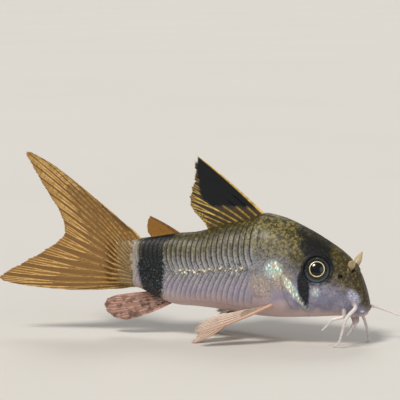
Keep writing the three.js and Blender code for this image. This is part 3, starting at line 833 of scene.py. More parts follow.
        # The painted sheen shifts between green, cream and blue.
        painted_sheen_tone = p.layered(
            self.painted_glint,
            (p.noise(p.rest, 1.5, 1.0).ease(0.42, 0.6), "fff9d6"),
            (p.noise(p.rest, 2.3, 0.0).ease(0.6, 0.7) * 0.7, "9fb4e6"),
        )
        line = (p.share - 0.5).size().ease(0.07, 0.015) * p.at.ease(1.5, -4.0) * p.at.ease(-13.4, -11.0)
        sparks = line * p.cells(p.rest, 1.9).ease(0.42, 0.2) * 0.6
        # Painted highlight, blue-lilac, near the mouth corner, broken up by mottling.
        lip_highlight = p.blot(LIP_HIGHLIGHT).ease(1.2, 0.3) * (0.35 + p.fine.ease(0.4, 0.62) * 0.6)
        tone = p.layered(
            self.gilded(p, self.mottled(p, self.body_tone(p))),
            (painted_sheen_amount.least(1.0), painted_sheen_tone),
            (sparks, "f2e8c4"),
            (lip_highlight, "c3c4dc"),
            (p.blot(LIP_DOT).ease(1.3, 0.6) * 0.75, "e4dfe4"),
            (p.at.ease(17.7, 18.3) * 0.7, "6c5f58"),
        )
        if self.rims:
            tone = self.rimmed(p, tone)
        black = self.mask(p).most(self.band(p)) * (0.9 + p.fine.ease(0.35, 0.6) * 0.08)
        edge = (black * (1.0 - black)).least(0.25) * 4.0 * p.cells(p.rest, 2.4).ease(0.38, 0.12)
        tone = p.layered(
            tone,
            (p.at.ease(-17.8, -18.8) * 0.75, p.mix(p.fine.ease(0.4, 0.6), self.stalk_pale, "aaa194")),
            (p.at.ease(-18.9, -20.4) * 0.9, self.tail_gold),
            (black, p.mix(p.dust.ease(0.5, 0.72) * 0.35, self.black, "2f3a40")),
            ((edge * p.share.ease(0.75, 0.5) * p.at.ease(-10.0, -12.0)).least(0.7), "7fb0ac"),
        )
        relief = p.fine * 0.5 + p.cells(p.rest, 3.2) * 0.5
        return p.close(
            Base_Color=tone,
            Roughness=0.46 - painted_sheen_mask * 0.16 + (p.fine - 0.5) * 0.12,
            Metallic=(painted_sheen_amount + sparks).least(1.0) * 0.1,
            Normal=p.bump(relief, 0.07, 0.7),
            Specular_IOR_Level=0.22,
            Coat_Weight=(1.0 - black) * 0.1,
            Coat_Roughness=0.24,
            Subsurface_Weight=0.05,
            Subsurface_Scale=0.6 * MM,
        )


@dataclass(frozen=True)
class EyeFinish:
    """Wet eyeball: black pupil and dark iris with a little blue in its lower part."""

    name: str = "eye_ball"
    pupil: float = 1.08

    def make(self) -> Material:
        """Builds the material.

        Returns:
            The finished material.
        """
        p = Paint(self.name)
        radius, turn, _ = p.axes("eye")
        streaks = p.noise(p.stretched("eye", (0.6, 2.6, 1.0)), 4.0, 3.0)
        iris = p.mix(streaks.ease(0.4, 0.7), "12110f", "2b2822")
        low = (turn + 1.2).size().ease(2.1, 0.5) * 0.8 + 0.1
        halo = radius.ease(1.5, 1.75) * radius.ease(2.06, 1.88)
        iris = p.mix(low * halo * 0.7, iris, "61707c")
        tone = p.mix(radius.ease(self.pupil + 0.06, self.pupil - 0.02), iris, "050608")
        return p.close(
            Base_Color=tone,
            Roughness=0.14 + streaks * 0.05,
            Specular_IOR_Level=0.3,
            Coat_Weight=0.3,
            Coat_Roughness=0.04,
        )


@dataclass(frozen=True)
class RingFinish:
    """Cream-gold ring round the pupil."""

    name: str = "iris_ring"
    metal: float = 0.35
    rough: float = 0.2

    def make(self) -> Material:
        """Builds the material.

        Returns:
            The finished material.
        """
        p = Paint(self.name)
        flicker = p.noise(p.attribute("rest"), 3.0, 2.0)
        tone = p.mix(flicker.ease(0.38, 0.66), "f2e6b4", "c9a862")
        return p.close(
            Base_Color=tone,
            Roughness=self.rough + flicker * 0.15,
            Metallic=self.metal,
            Coat_Weight=0.3,
        )


class FinKind(Enum):
    """Which fin a finish is for."""

    DORSAL = "dorsal"
    ADIPOSE = "adipose"
    ANAL = "anal"
    CAUDAL = "caudal"
    PAIRED = "paired"


@dataclass(frozen=True)
class FinFinish:
    """Membrane or rays of a fin, with its blotches and stripes."""

    name: str
    kind: FinKind
    rays: bool = False

    def tones(self) -> tuple[str, str, float]:
        """Looks up the fin's tones.

        Returns:
            Membrane colour, ray colour and how opaque the membrane is.
        """
        return {
            FinKind.DORSAL: ("664d20", "e2c069", 0.86),
            FinKind.ADIPOSE: ("8f6018", "b07c2c", 0.86),
            FinKind.ANAL: ("a47868", "cc9f8c", 0.72),
            FinKind.CAUDAL: ("9a6d30", "dcb673", 0.84),
            FinKind.PAIRED: ("b49a8a", "d5bfab", 0.55),
        }[self.kind]

    def blotch(self, x: Wire, z: Wire, wobble: Wire) -> Wire:
        """The dorsal fin's black blotch, behind the spine and above the pale base.

        Args:
            x: Place along the fish.
            z: Height.
            wobble: Noise that roughens the edge.

        Returns:
            How black.
        """
        left = (22.0 - z).most(0.0) * 0.8 - 8.7 - (z - 21.95) * 0.17
        inside = (x - left + (wobble - 0.5) * 1.0).ease(-0.35, 0.45)
        above = (z - 20.3 + (wobble - 0.5) * 0.8).ease(-0.3, 0.4)
        return inside * above

    def make(self) -> Material:
        """Builds the material.

        Returns:
            The finished material.
        """
        p = Paint(self.name)
        x, _, z = p.axes("rest")
        s, t, along = p.axes("fin")
        rest = p.attribute("rest")
        wobble = p.noise(rest, 1.1, 3.0)
        fine = p.noise(rest, 5.0, 2.0)
        skin, ray, opaque = self.tones()
        tone = p.mix(wobble.ease(0.35, 0.7) * 0.5, ray if self.rays else skin, skin)
        cover = opaque + (wobble - 0.5) * 0.2
        dark = fine.ease(0.52, 0.68) * 0.4
        if self.kind is FinKind.CAUDAL:
            joints = (along * 1.1 + wobble * 0.6).beat().ease(0.34, 0.46)
            dark = dark + joints * (0.3 if self.rays else 0.12) * s.ease(0.75, 0.1)
            if not self.rays:
                dark = dark + (s * 18.0).beat().ease(0.3, 0.1) * 0.45
            cover = cover + t.ease(0.25, 0.0) * 0.4
        elif self.kind is FinKind.ADIPOSE:
            dark = dark + s.ease(0.14, 0.02) * 0.6 + p.cells(rest, 2.6).ease(0.3, 0.1) * 0.6
        elif self.kind is FinKind.ANAL:
            dark = dark + wobble.ease(0.47, 0.6) * s.ease(0.95, 0.5) * 0.75
        elif self.kind is FinKind.PAIRED:
            dark = dark * 0.4
        if not self.rays:
            dark = dark * 0.8
        tone = p.mix(dark.least(0.85), tone, "3f301e")
        if self.kind is FinKind.CAUDAL and self.rays:
            tone = p.mix(t.ease(0.06, 0.0) * 0.6, tone, "a48f70")
        if self.kind is FinKind.DORSAL:
            if not self.rays:
                between = (s * 8.0).beat().ease(0.36, 0.2) * s.ease(0.9, 0.7)
                tone = p.mix(between * 0.8, tone, "2b2413")
            black = self.blotch(x, z, wobble) * s.ease(0.004, 0.02)
            speckle = s.ease(0.55, 0.75) * fine.ease(0.5, 0.6) * 0.7
            black = black.most(speckle * (1.0 - t.ease(0.96, 1.0)))
            tone = p.mix(black, tone, "101314")
            cover = cover.most(black * 0.97).least(1.0)
        if self.kind is FinKind.PAIRED:
            tone = p.mix(s.ease(0.1, 0.0) * 0.6, tone, "c08d72")
        return p.close(
            Base_Color=tone,
            Roughness=0.5 + (fine - 0.5) * 0.2,
            Alpha=1.0 if self.rays else cover,
            Normal=p.bump(fine, 0.03, 0.4),
            Specular_IOR_Level=0.25,
        )


@dataclass(frozen=True)
class FeelerFinish:
    """Pale soft skin of feelers and nostril flaps."""

    name: str = "feeler_skin"
    base: str = "8a787b"
    tip: str = "dcd4d0"

    def make(self) -> Material:
        """Builds the material.

        Returns:
            The finished material.
        """
        p = Paint(self.name)
        rest = p.attribute("rest")
        _, t, along = p.axes("fin")
        grain = p.noise(rest, 3.0, 3.0)
        tone = p.layered(
            self.base,
            (t.ease(0.02, 0.5), self.tip),
            (grain.ease(0.56, 0.72) * 0.3, "8d7869"),
            (p.cells(rest, 4.0).ease(0.34, 0.15) * 0.25, "5f5048"),
        )
        relief = (along * 26.0).sine() * 0.12 + p.cells(rest, 4.6) * 0.6
        return p.close(
            Base_Color=tone,
            Roughness=0.4 + grain * 0.12,
            Normal=p.bump(relief, 0.04, 0.5),
            Coat_Weight=0.25,
            Coat_Roughness=0.2,
            Subsurface_Weight=0.25,
            Subsurface_Scale=0.4 * MM,
        )


@dataclass(frozen=True)
class FloorFinish:
    """Pale matt floor."""

    name: str = "pale_floor"

    def make(self) -> Material:
        """Builds the material.

        Returns:
            The finished material.
        """
        p = Paint(self.name)
        node = p.bench.add("ShaderNodeTexCoord")
        cloud = p.noise(node.outputs["Object"], 9.0, 3.0)
        tone = p.mix(cloud, "c9c5be", "d1cdc6")
        return p.close(Base_Color=tone, Roughness=0.75 + cloud * 0.1)


def put(name: str, data: bpy.types.ID) -> Piece:
    """A new object in the scene."""
    made = bpy.data.objects.new(name, data)
    bpy.context.scene.collection.objects.link(made)
    return made


def write_attributes(mesh: bpy.types.Mesh, attributes: dict[str, Array]) -> None:
    """Writes point attributes.

    Args:
        mesh: The mesh.
        attributes: One number or one vector a point, by name.
    """
    for key, values in attributes.items():
        kind, field = ("FLOAT", "value") if values.ndim == 1 else ("FLOAT_VECTOR", "vector")
        layer = mesh.attributes.new(key, kind, "POINT")
        layer.data.foreach_set(field, values.astype(np.float32).ravel())


def mesh_piece(
    name: str,
    points: Array,
    faces: Sequence[Sequence[int]],
    material: Material,
    attributes: Optional[dict[str, Array]] = None,
) -> Piece:
    """Makes a finished piece from straight points.

    Args:
        name: The piece's name.
        points: Straight places in millimetres, (n, 3).
        faces: Corners of each face, seen from outside turning left.
        material: Its finish.
        attributes: Vector attributes by name, (n, 3).

    Returns:
        The object, at the origin, with its place in its mesh.
    """
    mesh = bpy.data.meshes.new(name)
    listed = faces.tolist() if isinstance(faces, np.ndarray) else list(faces)
    mesh.from_pydata(BodyShape.placed(points).tolist(), [], listed)
    mesh.polygons.foreach_set("use_smooth", np.ones(len(mesh.polygons), bool))
    write_attributes(mesh, {"rest": points, **(attributes or {})})
    mesh.materials.append(material)
    mesh.update()
    return put(name, mesh)


def quads_of(corners: Sequence[Array], shape: tuple[int, int]) -> Array:
    """Quads from the numbers of their four corners."""
    return np.stack([np.broadcast_to(q, shape) for q in corners], -1).reshape(-1, 4)


def grid_faces(rows: int, columns: int, wrap: bool = False) -> Array:
    """Quads of a grid of points kept row by row.

    Args:
        rows: Points along the first way.
        columns: Points along the second way.
        wrap: Joins the last column to the first.

    Returns:
        Corners of the quads, (n, 4).
    """
    r = np.arange(rows - 1)[:, None]
    c = np.arange(columns if wrap else columns - 1)[None, :]
    n = (c + 1) % columns
    corners = [r * columns + c, r * columns + n, (r + 1) * columns + n, (r + 1) * columns + c]
    return quads_of(corners, (rows - 1, c.size))


def torus_faces(around: int, sides: int) -> Array:
    """Quads of a tube closed on itself."""
    i, j = np.arange(around)[:, None], np.arange(sides)[None, :]
    ni, nj = (i + 1) % around, (j + 1) % sides
    corners = [i * sides + j, ni * sides + j, ni * sides + nj, i * sides + nj]
    return quads_of(corners, (around, sides))


def border(rows: int, columns: int) -> list[int]:
    """Goes round the edge of a grid.

    Args:
        rows: Points along the first way.
        columns: Points along the second way.

    Returns:
        The edge's points in order, each once.
    """
    first = list(range(columns))
    right = [r * columns + columns - 1 for r in range(1, rows)]
    last = [(rows - 1) * columns + c for c in range(columns - 2, -1, -1)]
    left = [r * columns for r in range(rows - 2, 0, -1)]
    return first + right + last + left


def shell_faces(rows: int, columns: int) -> Array:
    """Quads of a thin closed shell: an upper grid, a lower grid and the wall between.

    Args:
        rows: Points along the first way of each grid.
        columns: Points along the second way.

    Returns:
        Corners of the quads, (n, 4).
    """
    count = rows * columns
    top = grid_faces(rows, columns)
    loop = np.array(border(rows, columns))
    after = np.roll(loop, -1)
    wall = np.stack([loop, loop + count, after + count, after], -1)
    return np.concatenate([top, top[:, ::-1] + count, wall])


def volume_of(points: Array, faces: Array) -> float:
    """Signed volume inside quads, up to a factor."""
    a, b, c, d = (points[faces[:, i]] for i in range(4))
    return float((np.cross(b - a, c - a) * a).sum() + (np.cross(c - a, d - a) * a).sum())


def outward(points: Array, faces: Array) -> Array:
    """Turns faces the other way where they make a negative volume."""
    return faces if volume_of(points, faces) >= 0.0 else faces[:, ::-1]


def fanned(points: Array, quads: Array, around: int, rear: int) -> list[list[int]]:
    """Closes quads with a fan of triangles over each of two rings.

    Args:
        points: All places; the last two are the fans' middles.
        quads: The quads between.
        around: Points on a ring. The first ring starts at point 0.
        rear: Where the second ring starts.

    Returns:
        Corners of all faces, turned outwards.
    """
    front_hub, rear_hub = len(points) - 2, len(points) - 1
    pairs = [(i, (i + 1) % around) for i in range(around)]
    faces = quads.tolist()
    faces += [[front_hub, b, a] for a, b in pairs]
    faces += [[rear_hub, a + rear, b + rear] for a, b in pairs]
    return [f[::-1] for f in faces] if volume_of(points, quads) < 0.0 else faces


# The body's map: both flanks lie along it, the left above the right.
MAP_TAIL = -22.0
MAP_LENGTH = 41.5
MAP_SPREAD = 0.96
MAP_MARGIN = 0.02
MAP_LEFT = 0.51
MAP_HEIGHT = 0.47


def chart_place(at: Array, share: Array, side: Array) -> Array:
    """Places on the body's map.

    Args:
        at: Places along the body.
        share: Height shares.
        side: Above 0 on the left.

    Returns:
        Map places, (n, 2).
    """
    u = MAP_MARGIN + MAP_SPREAD * (at - MAP_TAIL) / MAP_LENGTH
    v = np.where(side > 0, MAP_LEFT, MAP_MARGIN) + MAP_HEIGHT * share
    return np.stack([u, v], axis=-1)


def corner_points(mesh: bpy.types.Mesh) -> Array:
    """The point at each corner of the faces."""
    corner = np.zeros(len(mesh.loops), np.int32)
    mesh.loops.foreach_get("vertex_index", corner)
    return corner


def lay_map(mesh: bpy.types.Mesh, places: Array) -> None:
    """Gives a mesh its OFBake map, one place a corner."""
    layer = mesh.uv_layers.new(name="OFBake")
    layer.data.foreach_set("uv", places.astype(np.float32).ravel())


def spline(knots: Sequence[Sequence[float]], t: Array) -> Array:
    """Places on a smooth line through knots, centripetal, by share of the knots.

    Args:
        knots: The places it passes, (n, 3).
        t: Shares from 0 to 1.

    Returns:
        Places, (len(t), 3).
    """
    p = np.array(knots, float)
    p = np.concatenate([[2 * p[0] - p[1]], p, [2 * p[-1] - p[-2]]])
    place = np.clip(np.asarray(t, float), 0.0, 1.0) * (len(knots) - 1)
    i = np.minimum(place.astype(int), len(knots) - 2)
    w = (place - i)[..., None]
    a, b, c, d = p[i], p[i + 1], p[i + 2], p[i + 3]
    gaps = (b - a, c - b, d - c)
    s0, s1, s2 = (np.maximum(np.linalg.norm(v, axis=-1, keepdims=True), 1e-6) ** 0.5 for v in gaps)
    m1 = ((b - a) / s0 - (c - a) / (s0 + s1) + (c - b) / s1) * s1
    m2 = ((c - b) / s1 - (d - b) / (s1 + s2) + (d - c) / s2) * s1
    w2, w3 = w * w, w * w * w
    return (2 * w3 - 3 * w2 + 1) * b + (w3 - 2 * w2 + w) * m1 + (3 * w2 - 2 * w3) * c + (w3 - w2) * m2


@dataclass(frozen=True)
class Cover(Spot):
    """A bony cover on the flank, with its height over the skin."""

    lift: float = 0.0

    def reach(self, x: Array, z: Array) -> Array:
        """Distance from the middle, 1 on the rim."""
        rise = z - self.z
        ahead = x - self.x - self.slant * rise
        return np.hypot(ahead / self.half_x, rise / self.half_z)


GILL_COVER = Cover(7.05, 9.5, 1.6, 3.9, -0.17, 0.24)
SHOULDER_COVER = Cover(2.2, 10.2, 2.3, 3.0, 0.06, 0.26)
CHEEK_COVER = Cover(11.6, 7.6, 2.4, 1.35, 0.25, 0.14)

# Nostrils: place along the head, angle from the back line, radius.
FRONT_NOSTRIL = (14.65, 0.52, 0.6)
REAR_NOSTRIL = (13.6, 1.02, 0.5)

# Upper lip, lower lip and the line between: knots of the left half, height and width.
MOUTH = (
    (((15.7, 2.55, 5.35), (16.9, 1.65, 4.8), (17.45, 0.0, 4.75)), 0.34, 0.42),
    (((15.45, 2.4, 4.95), (15.95, 1.4, 4.35), (16.2, 0.0, 4.2)), 0.3, 0.36),
    (((15.7, 2.3, 4.85), (16.45, 1.4, 4.35), (16.8, 0.0, 4.25)), -0.42, 0.13),
)


@dataclass
class Eye:
    """One eye: a flattened ball in its socket and the bright ring round its pupil."""

    side: float
    x: float = 10.65
    z: float = 11.9
    radius: float = 2.1
    depth: float = 1.45
    sunk: float = 0.75
    ring_radius: float = 1.13
    ring_half: float = 0.075
    bulge: float = 0.06
    around: int = 64
    high: int = 40

    @cached_property
    def foot(self) -> Array:
        """Point of the flank over the eye's middle."""
        return SHAPE.flank(self.x, self.z, self.side)

    @cached_property
    def out(self) -> Array:
        """Direction that the eye looks in."""
        return unit(SHAPE.flank(self.x, self.z, self.side, 1.0) - self.foot)

    @cached_property
    def axes(self) -> tuple[Array, Array]:
        """Directions ahead and up in the eye's plane."""
        up = unit(np.array([0.0, 0.0, 1.0]) - self.out * self.out[2])
        ahead = np.cross(up, self.out) * -self.side
        return ahead * np.sign(ahead[0]), up

    def on_ball(self, radius: Array, turn: Array, lift: Array) -> Array:
        """Points on the ball's outer half.

        Args:
            radius: Distances from its axis.
            turn: Turns round the axis.
            lift: Heights over the ball.

        Returns:
            Straight points.
        """
        ahead, up = self.axes
        height = self.depth * np.sqrt(np.maximum(1.0 - (radius / self.radius) ** 2, 0.0)) + lift
        flat = np.cos(turn)[..., None] * ahead + np.sin(turn)[..., None] * up
        return self.foot + self.out * (height - self.sunk)[..., None] + flat * radius[..., None]

    def build(self, ball: Material, ring: Material) -> list[Piece]:
        """Makes the ball and its ring.

        Args:
            ball: Finish of the eyeball.
            ring: Finish of the ring.

        Returns:
            Both pieces.
        """
        around, high = self.around, self.high
        polar = np.linspace(0.0, math.pi, high + 2)[1:-1, None]
        turn = turns(around)[None, :]
        ahead, up = self.axes
        reach = self.radius * np.sin(polar)
        bulge = self.bulge * np.exp(-((reach / 1.15) ** 4)) * (np.cos(polar) > 0)
        axial = self.depth * np.cos(polar) + bulge
        flat = np.cos(turn)[..., None] * ahead + np.sin(turn)[..., None] * up
        reach, axial, turn = np.broadcast_arrays(reach, axial, turn)
        centre = self.foot - self.out * self.sunk
        shell = centre + self.out * axial[..., None] + flat * reach[..., None]
        poles = [centre + self.out * (self.depth + self.bulge), centre - self.out * self.depth]
        points = np.concatenate([shell.reshape(-1, 3), poles])
        faces = fanned(points, grid_faces(high, around, wrap=True), around, (high - 1) * around)
        eye = np.zeros((len(points), 3))
        turn = np.where(turn > math.pi, turn - 2.0 * math.pi, turn)
        eye[:-2] = np.stack([reach, turn, axial], -1).reshape(-1, 3)
        made = mesh_piece(f"eyeball_{suffix_of(self.side)}", points, faces, ball, {"eye": eye})
        return [made, self.build_ring(ring)]

    def build_ring(self, finish: Material) -> Piece:
        """Makes the bright ring, a low band that lies on the ball.

        Args:
            finish: Its finish.

        Returns:
            The ring.
        """
        around, sides = 96, 10
        turn, section = turns(around)[:, None], turns(sides)[None, :]
        wave = 1.0 + 0.08 * np.sin(turn * 3.0 + 0.6) + 0.05 * np.sin(turn * 7.0)
        reach = self.ring_radius + self.ring_half * wave * np.cos(section)
        lift = 0.05 * np.sin(section) + 0.05 + 0.0 * turn
        points = self.on_ball(reach, np.broadcast_to(turn, reach.shape), lift).reshape(-1, 3)
        faces = outward(points, torus_faces(around, sides))
        return mesh_piece(f"iris_ring_{suffix_of(self.side)}", points, faces, finish)


@dataclass
class Skin:
    """One unbroken skin over head, trunk and tail stalk, with the forms of the head."""

    around: int = 250
    head_rings: int = 190
    trunk_rings: int = 140
    cap_rings: int = 8

    def angles(self) -> Array:
        """Spaces the skin's points evenly round a section of the head.

        Returns:
            Angles from the back line.
        """
        fine = np.linspace(0.0, 2.0 * math.pi, 4001)
        line = SHAPE.point(np.full_like(fine, 8.0), fine)
        length = np.r_[0.0, np.cumsum(np.linalg.norm(np.diff(line, axis=0), axis=1))]
        even = np.linspace(0.0, length[-1], self.around, endpoint=False)
        return np.interp(even, length, fine)

    def relief(self, points: Array, chart: Array, side: Array) -> Array:
        """How far the head's forms raise or sink each point of the skin.

        Args:
            points: Places on the plain skin.
            chart: Their place along the body and height share.
            side: 1 on the left and -1 on the right.

        Returns:
            Heights in millimetres.
        """
        x, z = points[..., 0], points[..., 2]
        at, share = chart[..., 0], chart[..., 1]
        rise = np.zeros(at.shape)
        cover = GILL_COVER.reach(x, z)
        behind = smooth(GILL_COVER.x + 0.3 - x, -0.8, 0.4)
        sharp = 1.0 - smooth(cover, 0.94, 1.03)
        blended = 1.0 - smooth(cover, 0.3, 1.1)
        rise += GILL_COVER.lift * (behind * sharp + (1.0 - behind) * blended)
        rise -= 0.06 * behind * bell(cover - 1.08, 0.06)
        # A fold runs on from the gill cover's lower corner under the throat.
        fold = x - (8.1 + 0.55 * (6.2 - z))
        rise -= 0.16 * bell(fold, 0.22) * smooth(7.0 - z, 0.0, 1.2) * smooth(share, 0.0, 0.05)
        cheek = CHEEK_COVER.reach(x, z)
        rise += CHEEK_COVER.lift * (1.0 - smooth(cheek, 0.55, 1.1))
        # The skull's rear spine, which points at the dorsal fin, and the groove before it.
        ahead = np.maximum(at - 1.0, 0.0)
        spine = 1.0 - smooth(np.abs(points[..., 1]), 0.45 + 0.16 * ahead, 0.75 + 0.2 * ahead)
        rise += 0.14 * spine * smooth(share, 0.85, 0.95) * smooth(at, 0.9, 1.6) * (1.0 - smooth(at, 4.5, 8.0))
        groove = bell(points[..., 1], 0.22) * smooth(share, 0.9, 0.97)
        rise -= 0.1 * groove * smooth(at, 7.6, 8.4) * (1.0 - smooth(at, 11.6, 12.6))
        for which in (1.0, -1.0):
            eye = Eye(which)
            near = side == which
            offset = points - eye.foot
            axial = offset @ eye.out
            radius = np.linalg.norm(offset - axial[..., None] * eye.out, axis=-1)
            lid = 0.17 * bell(radius - 2.2, 0.17) - 0.06 * bell(radius - 2.62, 0.25)
            sink = -1.5 * (1.0 - smooth(radius, 1.55, 2.06))
            rise += np.where(near & (radius < 4.5), lid + sink, 0.0)
            for at_n, angle_n, size in (FRONT_NOSTRIL, REAR_NOSTRIL):
                centre = SHAPE.point(np.array(at_n), np.array(which * angle_n))
                away = np.linalg.norm(points - centre, axis=-1)
                rim = 0.17 * bell(away - size, 0.15)
                pit = -0.55 * (1.0 - smooth(away, 0.45 * size, 0.85 * size))
                rise += np.where(near, rim + pit, 0.0)
        for knots, height, width in MOUTH:
            rise += height * bell(distance_to_line(points, both_halves(knots)), width)
        bony = smooth(at, 4.0, 6.0) * smooth(share, 0.3, 0.8)
        rise += 0.018 * rippled(points, 0.9, 3) * bony + 0.01 * rippled(points, 2.2, 5) * bony
        under = (1.0 - smooth(at, -0.2, 1.4)) * smooth(share, 0.05, 0.2)
        return rise - 0.05 * under

    def build(self, finish: Material) -> Piece:
        """Makes the skin.

        Args:
            finish: The marked finish.

        Returns:
            The skin's piece.
        """
        t = np.linspace(0.0, 1.0, self.head_rings)
        head = blend_between(SHAPE.nose, SHAPE.head_end, t**1.05)
        trunk = np.linspace(SHAPE.head_end, SHAPE.tail_root, self.trunk_rings + 1)[1:]
        at = np.concatenate([head, trunk])
        angle = self.angles()
        grid_at, grid_angle = np.meshgrid(at, angle, indexing="ij")
        body = SHAPE.point(grid_at, grid_angle)
        share = SHAPE.share(grid_at, grid_angle)
        nose_rings, nose_at = self.cap(body[0], SHAPE.nose, np.array([0.28, 0.0, 0.0]), 1.0)
        tail_rings, tail_at = self.cap(body[-1], SHAPE.tail_root, np.array([-1.5, 0.0, 0.0]), 0.35)
        rings = np.concatenate([nose_rings[::-1], body, tail_rings])
        ends = np.repeat(share[:1], len(nose_rings), 0), np.repeat(share[-1:], len(tail_rings), 0)
        shares = np.concatenate([ends[0], share, ends[1]])
        nose_ats, tail_ats = (np.repeat(v[:, None], self.around, 1) for v in (nose_at[::-1], tail_at))
        ats = np.concatenate([nose_ats, grid_at, tail_ats])
        side = np.where(np.sin(np.broadcast_to(angle, ats.shape)) >= 0.0, 1.0, -1.0)
        around = np.roll(rings, -1, axis=1) - np.roll(rings, 1, axis=1)
        along = np.gradient(rings, axis=0)
        normal = unit(np.cross(around, along))
        chart = np.stack([ats, shares, np.full_like(ats, 0.4)], axis=-1)
        rings = rings + normal * self.relief(rings, chart, side)[..., None]
        rows = len(rings)
        points = np.concatenate([rings.reshape(-1, 3), [rings[0].mean(0), rings[-1].mean(0)]])
        hubs = [[nose_at[-1], 0.5, 0.4], [tail_at[-1], 0.5, 0.4]]
        charts = np.concatenate([chart.reshape(-1, 3), hubs])
        quads = grid_faces(rows, self.around, wrap=True)
        faces = fanned(points, quads, self.around, (rows - 1) * self.around)
        skin = mesh_piece("skin", points, faces, finish, {"chart": charts})
        self.unwrap(skin.data, points, charts)
        return skin

    def cap(self, ring: Array, at: float, push: Array, squeeze: float) -> tuple[Array, Array]:
        """Rings that round off an end of the body.

        Args:
            ring: The end ring.
            at: Its place along the body.
            push: How far the end's middle stands out.
            squeeze: How much the end narrows from top to bottom; 1 closes it to a point.

        Returns:
            The rings from the end outwards, and their places along the body.
        """
        centre = ring.mean(0)
        rings = []
        for k in range(1, self.cap_rings + 1):
            turn = 0.5 * math.pi * k / (self.cap_rings + 0.6)
            narrow = math.cos(turn)
            flat = (ring - centre) * np.array([1.0, narrow, blend_between(1.0, narrow, squeeze)])
            rings.append(centre + flat + push * math.sin(turn))
        places = at + np.sign(push[0]) * np.linspace(0.05, 0.4, self.cap_rings)
        return np.array(rings), places

    @staticmethod
    def unwrap(mesh: bpy.types.Mesh, points: Array, charts: Array) -> None:
        """Lays the skin's map out by its place along and round the body.

        Args:
            mesh: The skin's mesh.
            points: Its straight places.
            charts: Place along the body and height share of each.
        """
        corner = corner_points(mesh)
        starts = np.zeros(len(mesh.polygons), np.int32)
        totals = np.zeros(len(mesh.polygons), np.int32)
        mesh.polygons.foreach_get("loop_start", starts)
        mesh.polygons.foreach_get("loop_total", totals)
        face_side = np.sign(np.add.reduceat(np.sign(points[corner, 1]), starts))
        face_side[face_side == 0] = 1.0
        side = np.repeat(face_side, totals)
        lay_map(mesh, chart_place(charts[corner, 0], charts[corner, 1], side))


def both_halves(knots: Sequence[Sequence[float]]) -> Array:
    """A line of the mouth: its given left half and the mirrored right half, 80 places."""
    right = [(x, -y, z) for x, y, z in reversed(knots[:-1])]
    return spline([*knots, *right], np.linspace(0.0, 1.0, 80))


SNOUT_START = 13.0
FAR = 1e3


def distance_to_line(points: Array, line: Array) -> Array:
    """Measures how far the snout's points are from a line.

    Args:
        points: Places on the skin.
        line: Places of the line.

    Returns:
        Distance to the nearest place, and a large number behind the snout.
    """
    flat = points.reshape(-1, 3)
    near = np.full(len(flat), FAR)
    close = np.flatnonzero(flat[:, 0] > SNOUT_START)
    for place in line:
        near[close] = np.minimum(near[close], np.linalg.norm(flat[close] - place, axis=1))
    return near.reshape(points.shape[:-1])


